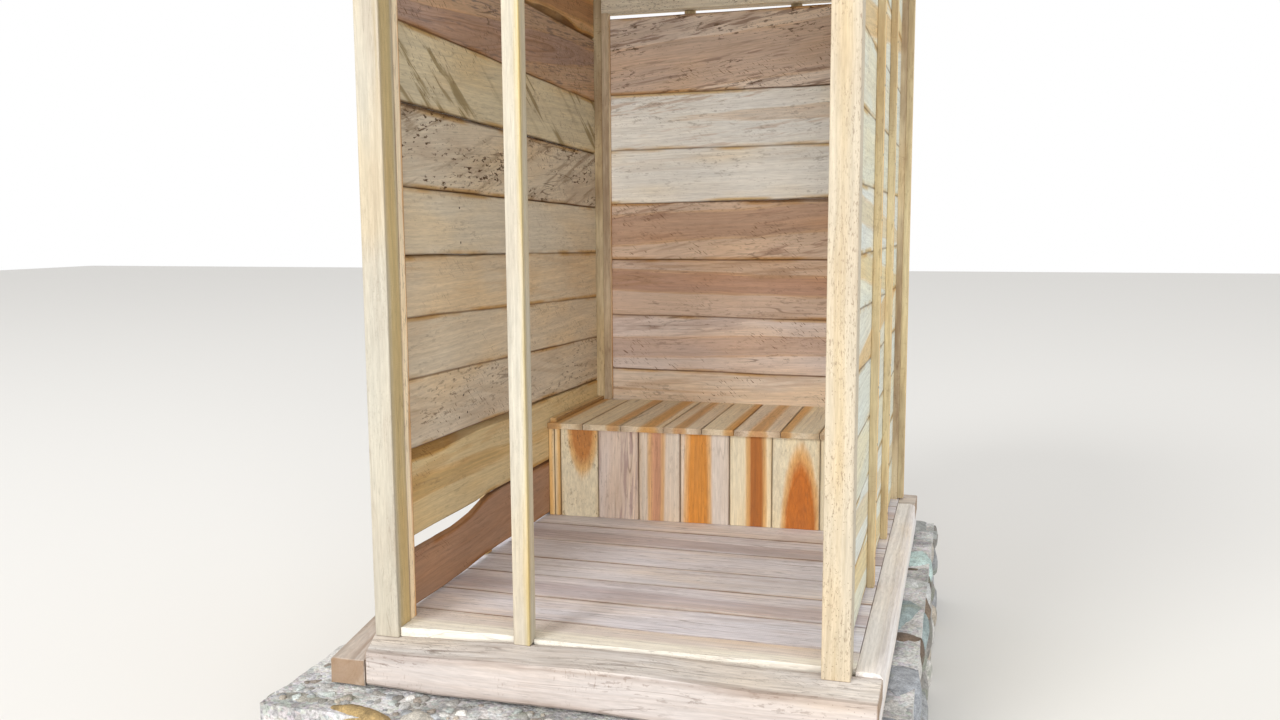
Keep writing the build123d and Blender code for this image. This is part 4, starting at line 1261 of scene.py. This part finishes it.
class HUT_OT_plinth(bpy.types.Operator):
    """Rubble plinth: stones in rough courses round a mortar core"""
    bl_idname = "hut.plinth"
    bl_label = "Plinth"

    def execute(self, context):
        settings = context.scene.hut_plinth
        self.core(settings.recess * MM)
        courses = max(2, round(PLINTH_HEIGHT / MM / settings.course))
        for number, side in enumerate(("front", "right", "back", "left")):
            stones = Rubble(settings.seed + number)
            for k in range(courses):
                self.course(stones, side, k, courses, settings.stone * MM)
            stones.piece("plinth_stones_" + side)
        self.pebbles(settings.seed + 20)
        return {"FINISHED"}

    def core(self, inset, cell=16.0):
        """Mortar and small fill behind the stones, uneven on top."""
        (x0, y0), (x1, y1) = PLINTH_LOW, PLINTH_HIGH
        x0, y0, x1, y1 = x0 + inset, y0 + inset, x1 - inset, y1 - inset
        nx, ny = round((x1 - x0) / cell), round((y1 - y0) / cell)
        points = []
        for j in range(ny + 1):
            for i in range(nx + 1):
                x, y = x0 + (x1 - x0) * i / nx, y0 + (y1 - y0) * j / ny
                lump = 4.0 * rough(50, x / 90.0, y / 90.0) + 2.5 * rough(51, x / 22.0, y / 22.0)
                points.append(at(x, y, -SILL_HEIGHT - 7.0 + lump))
        row = nx + 1
        faces = [(j * row + i, j * row + i + 1, (j + 1) * row + i + 1, (j + 1) * row + i)
                 for j in range(ny) for i in range(nx)]
        rim = ([(i, 0) for i in range(nx)] + [(nx, j) for j in range(ny)]
               + [(i, ny) for i in range(nx, 0, -1)] + [(0, j) for j in range(ny, 0, -1)])
        foot = len(points)
        points += [Vector((*points[j * row + i][:2], 0.0)) for i, j in rim]
        for k, (i, j) in enumerate(rim):
            n = (k + 1) % len(rim)
            faces.append((j * row + i, foot + k, foot + n, rim[n][1] * row + rim[n][0]))
        faces.append(range(foot, foot + len(rim))[::-1])
        put(mesh_object("plinth_core", points, faces, finish_of("mortar")), "rubble_stone",
            "stone_plinth")

    def course(self, stones, side, k, courses, usual):
        """One course along one side; alternate courses run through at the corners."""
        rng = stones.rng
        bottom = -SILL_HEIGHT - PLINTH_HEIGHT
        z0, z1 = (bottom + PLINTH_HEIGHT * n / courses for n in (k, k + 1))
        top = k == courses - 1
        along_x = side in ("front", "back")
        axis = 0 if along_x else 1
        bond = 0.0 if (k % 2 == 0) == along_x else 120.0
        u, end = PLINTH_LOW[axis] + 8.0 + bond, PLINTH_HIGH[axis] - 8.0 - bond
        shown = SHOWN_STONES.get(side) if top else None
        row = list(shown or ())
        while shown is None and u < end - 30.0:
            length = min(usual * rng.uniform(0.6, 1.5), end - u)
            if end - u - length < 60.0:
                length = end - u
            row.append((u, length, rng.choice(STONE_TINTS)))
            u += length + rng.uniform(5.0, 12.0)
        inward = 1 if side in ("front", "left") else -1
        face = (PLINTH_LOW if inward > 0 else PLINTH_HIGH)[1 - axis]
        for u, length, tint in row:
            batter = PLINTH_BATTER * (z1 + SILL_HEIGHT + PLINTH_HEIGHT) / PLINTH_HEIGHT
            outer = batter + rng.uniform(-6.0, 7.0)
            deep = outer + (rng.uniform(105, 150) if top else 120.0)
            if top and side == "front":
                deep = outer + rng.uniform(62.0, 100.0)
            lift = rng.uniform(-14.0, 2.0) if top else rng.uniform(-5.0, 3.0)
            drop = rng.uniform(-3.0, 5.0) if k else -4.0
            near = face + outer * inward
            a, b = sorted((near, near + (deep - outer) * inward))
            low, high = (u, a, z0 + drop), (u + length, b, z1 + lift)
            if not along_x:
                low, high = (a, u, z0 + drop), (b, u + length, z1 + lift)
            stones.stone(low, high, tint, spread=0.04, foot=0.0)

    def pebbles(self, seed, count=260):
        """River pebbles in the mortar of the front and left ledges."""
        loose = Rubble(seed)
        rng = loose.rng
        for _ in range(count):
            if rng.random() < 0.75:
                x, y = rng.uniform(-150, 1260), rng.uniform(-205, -110)
            else:
                x, y = rng.uniform(-150, -78), rng.uniform(-200, 1790)
            size = rng.uniform(4.0, 15.0)
            z = -SILL_HEIGHT - 8.0 + rng.uniform(-3, 1)
            loose.stone((x - size, y - size * 0.8, z - size * 0.6),
                        (x + size, y + size * 0.8, z + size * 0.6), rng.choice(STONE_TINTS),
                        cells=4, spread=3.1)
        loose.piece("plinth_pebbles")


class HUT_OT_stage(bpy.types.Operator):
    """Pale floor, soft lights, white background and the camera"""
    bl_idname = "hut.stage"
    bl_label = "Stage"

    def execute(self, context):
        settings, half = context.scene.hut_stage, 30
        corners = [(x, y, -0.001) for x, y in ((-half, -half), (half, -half), (half, half),
                                               (-half, half))]
        floor = mesh_object("studio_floor", corners, [(0, 1, 2, 3)], finish_of("stage"))
        self.lamp("key_light", settings.key_power, (2.4, -22.0, 4.6))
        self.lamp("side_light", settings.side_power, (12.0, -19.0, 7.4))
        self.lamp("high_light", settings.high_power, (-7.0, -17.0, 13.0))
        self.sky(settings)
        self.camera()
        context.scene.view_settings.view_transform = "Standard"
        return {"FINISHED"}

    def lamp(self, name, power, place, size=8.0):
        data = bpy.data.lights.new(name, "AREA")
        data.shape = "DISK"
        data.size = size
        data.energy = power
        lamp = bpy.data.objects.new(name, data)
        lamp.location = place
        lamp.rotation_euler = (Z_AXIS - Vector(place)).to_track_quat("-Z", "Y").to_euler()
        bpy.context.scene.collection.objects.link(lamp)

    def sky(self, settings):
        world = bpy.data.worlds.new("Studio")
        world.use_nodes = True
        bpy.context.scene.world = world
        tree = world.node_tree
        tree.nodes.clear()
        path = add(tree, "ShaderNodeLightPath")
        seen = maths("ADD", path["Is Camera Ray"] + path["Is Glossy Ray"],
                     path["Is Transmission Ray"], clamp=True)
        light = add(tree, "ShaderNodeBackground", {"Color": grey(1.0), "Strength": settings.sky})
        shown = add(tree, "ShaderNodeBackground", {"Color": (*settings.backdrop, 1.0),
                                                   "Strength": 1.0})
        both = add(tree, "ShaderNodeMixShader", {0: seen, 1: light, 2: shown})
        add(tree, "ShaderNodeOutputWorld", {"Surface": both})

    def camera(self):
        """Camera as the photograph's: focal length 1100 px in a frame 1280 px wide."""
        data = bpy.data.cameras.new("camera")
        data.sensor_width = 36.0
        data.lens = 1100.07 / 1280.0 * data.sensor_width
        camera = bpy.data.objects.new("camera", data)
        yaw, pitch, roll = 0.28903, 0.12365, -0.00562
        ahead = Vector((-math.sin(yaw) * math.cos(pitch), math.cos(yaw) * math.cos(pitch),
                        -math.sin(pitch)))
        side = Vector((math.cos(yaw), math.sin(yaw), 0.0))
        up = side.cross(ahead)
        turned = side * math.cos(roll) + up * math.sin(roll)
        up = -side * math.sin(roll) + up * math.cos(roll)
        place = Matrix((turned, up, -ahead)).transposed().to_4x4()
        place.translation = at(1424.8, -2401.8, 1018.8)
        camera.matrix_world = place
        bpy.context.scene.collection.objects.link(camera)
        bpy.context.scene.camera = camera


class HUT_PT_panel(bpy.types.Panel):
    bl_idname = "HUT_PT_panel"
    bl_label = "Plank hut"
    bl_space_type = "VIEW_3D"
    bl_region_type = "UI"
    bl_category = "Hut"

    def draw(self, context):
        scene = context.scene
        for group in (scene.hut_timber, scene.hut_plinth, scene.hut_stage):
            box = self.layout.box()
            for key in group.__annotations__:
                box.prop(group, key)
        for operator in OPERATORS:
            self.layout.operator(operator.bl_idname)


OPERATORS = (HUT_OT_plinth, HUT_OT_sills, HUT_OT_floor, HUT_OT_posts, HUT_OT_left_wall,
             HUT_OT_right_wall, HUT_OT_back_wall, HUT_OT_battens, HUT_OT_nails, HUT_OT_bench,
             HUT_OT_plates, HUT_OT_roof, HUT_OT_stage)
GROUPS = (HutTimberSettings, HutPlinthSettings, HutStageSettings)


def register():
    for cls in GROUPS + OPERATORS + (HUT_PT_panel,):
        bpy.utils.register_class(cls)
    bpy.types.Scene.hut_timber = PointerProperty(type=HutTimberSettings)
    bpy.types.Scene.hut_plinth = PointerProperty(type=HutPlinthSettings)
    bpy.types.Scene.hut_stage = PointerProperty(type=HutStageSettings)


def unregister():
    del bpy.types.Scene.hut_timber
    del bpy.types.Scene.hut_plinth
    del bpy.types.Scene.hut_stage
    for cls in reversed(GROUPS + OPERATORS + (HUT_PT_panel,)):
        bpy.utils.unregister_class(cls)


def main():
    register()
    for operator in OPERATORS:
        group, name = operator.bl_idname.split(".")
        getattr(getattr(bpy.ops, group), name)()
    bpy.context.view_layer.update()


if __name__ == "__main__":
    main()
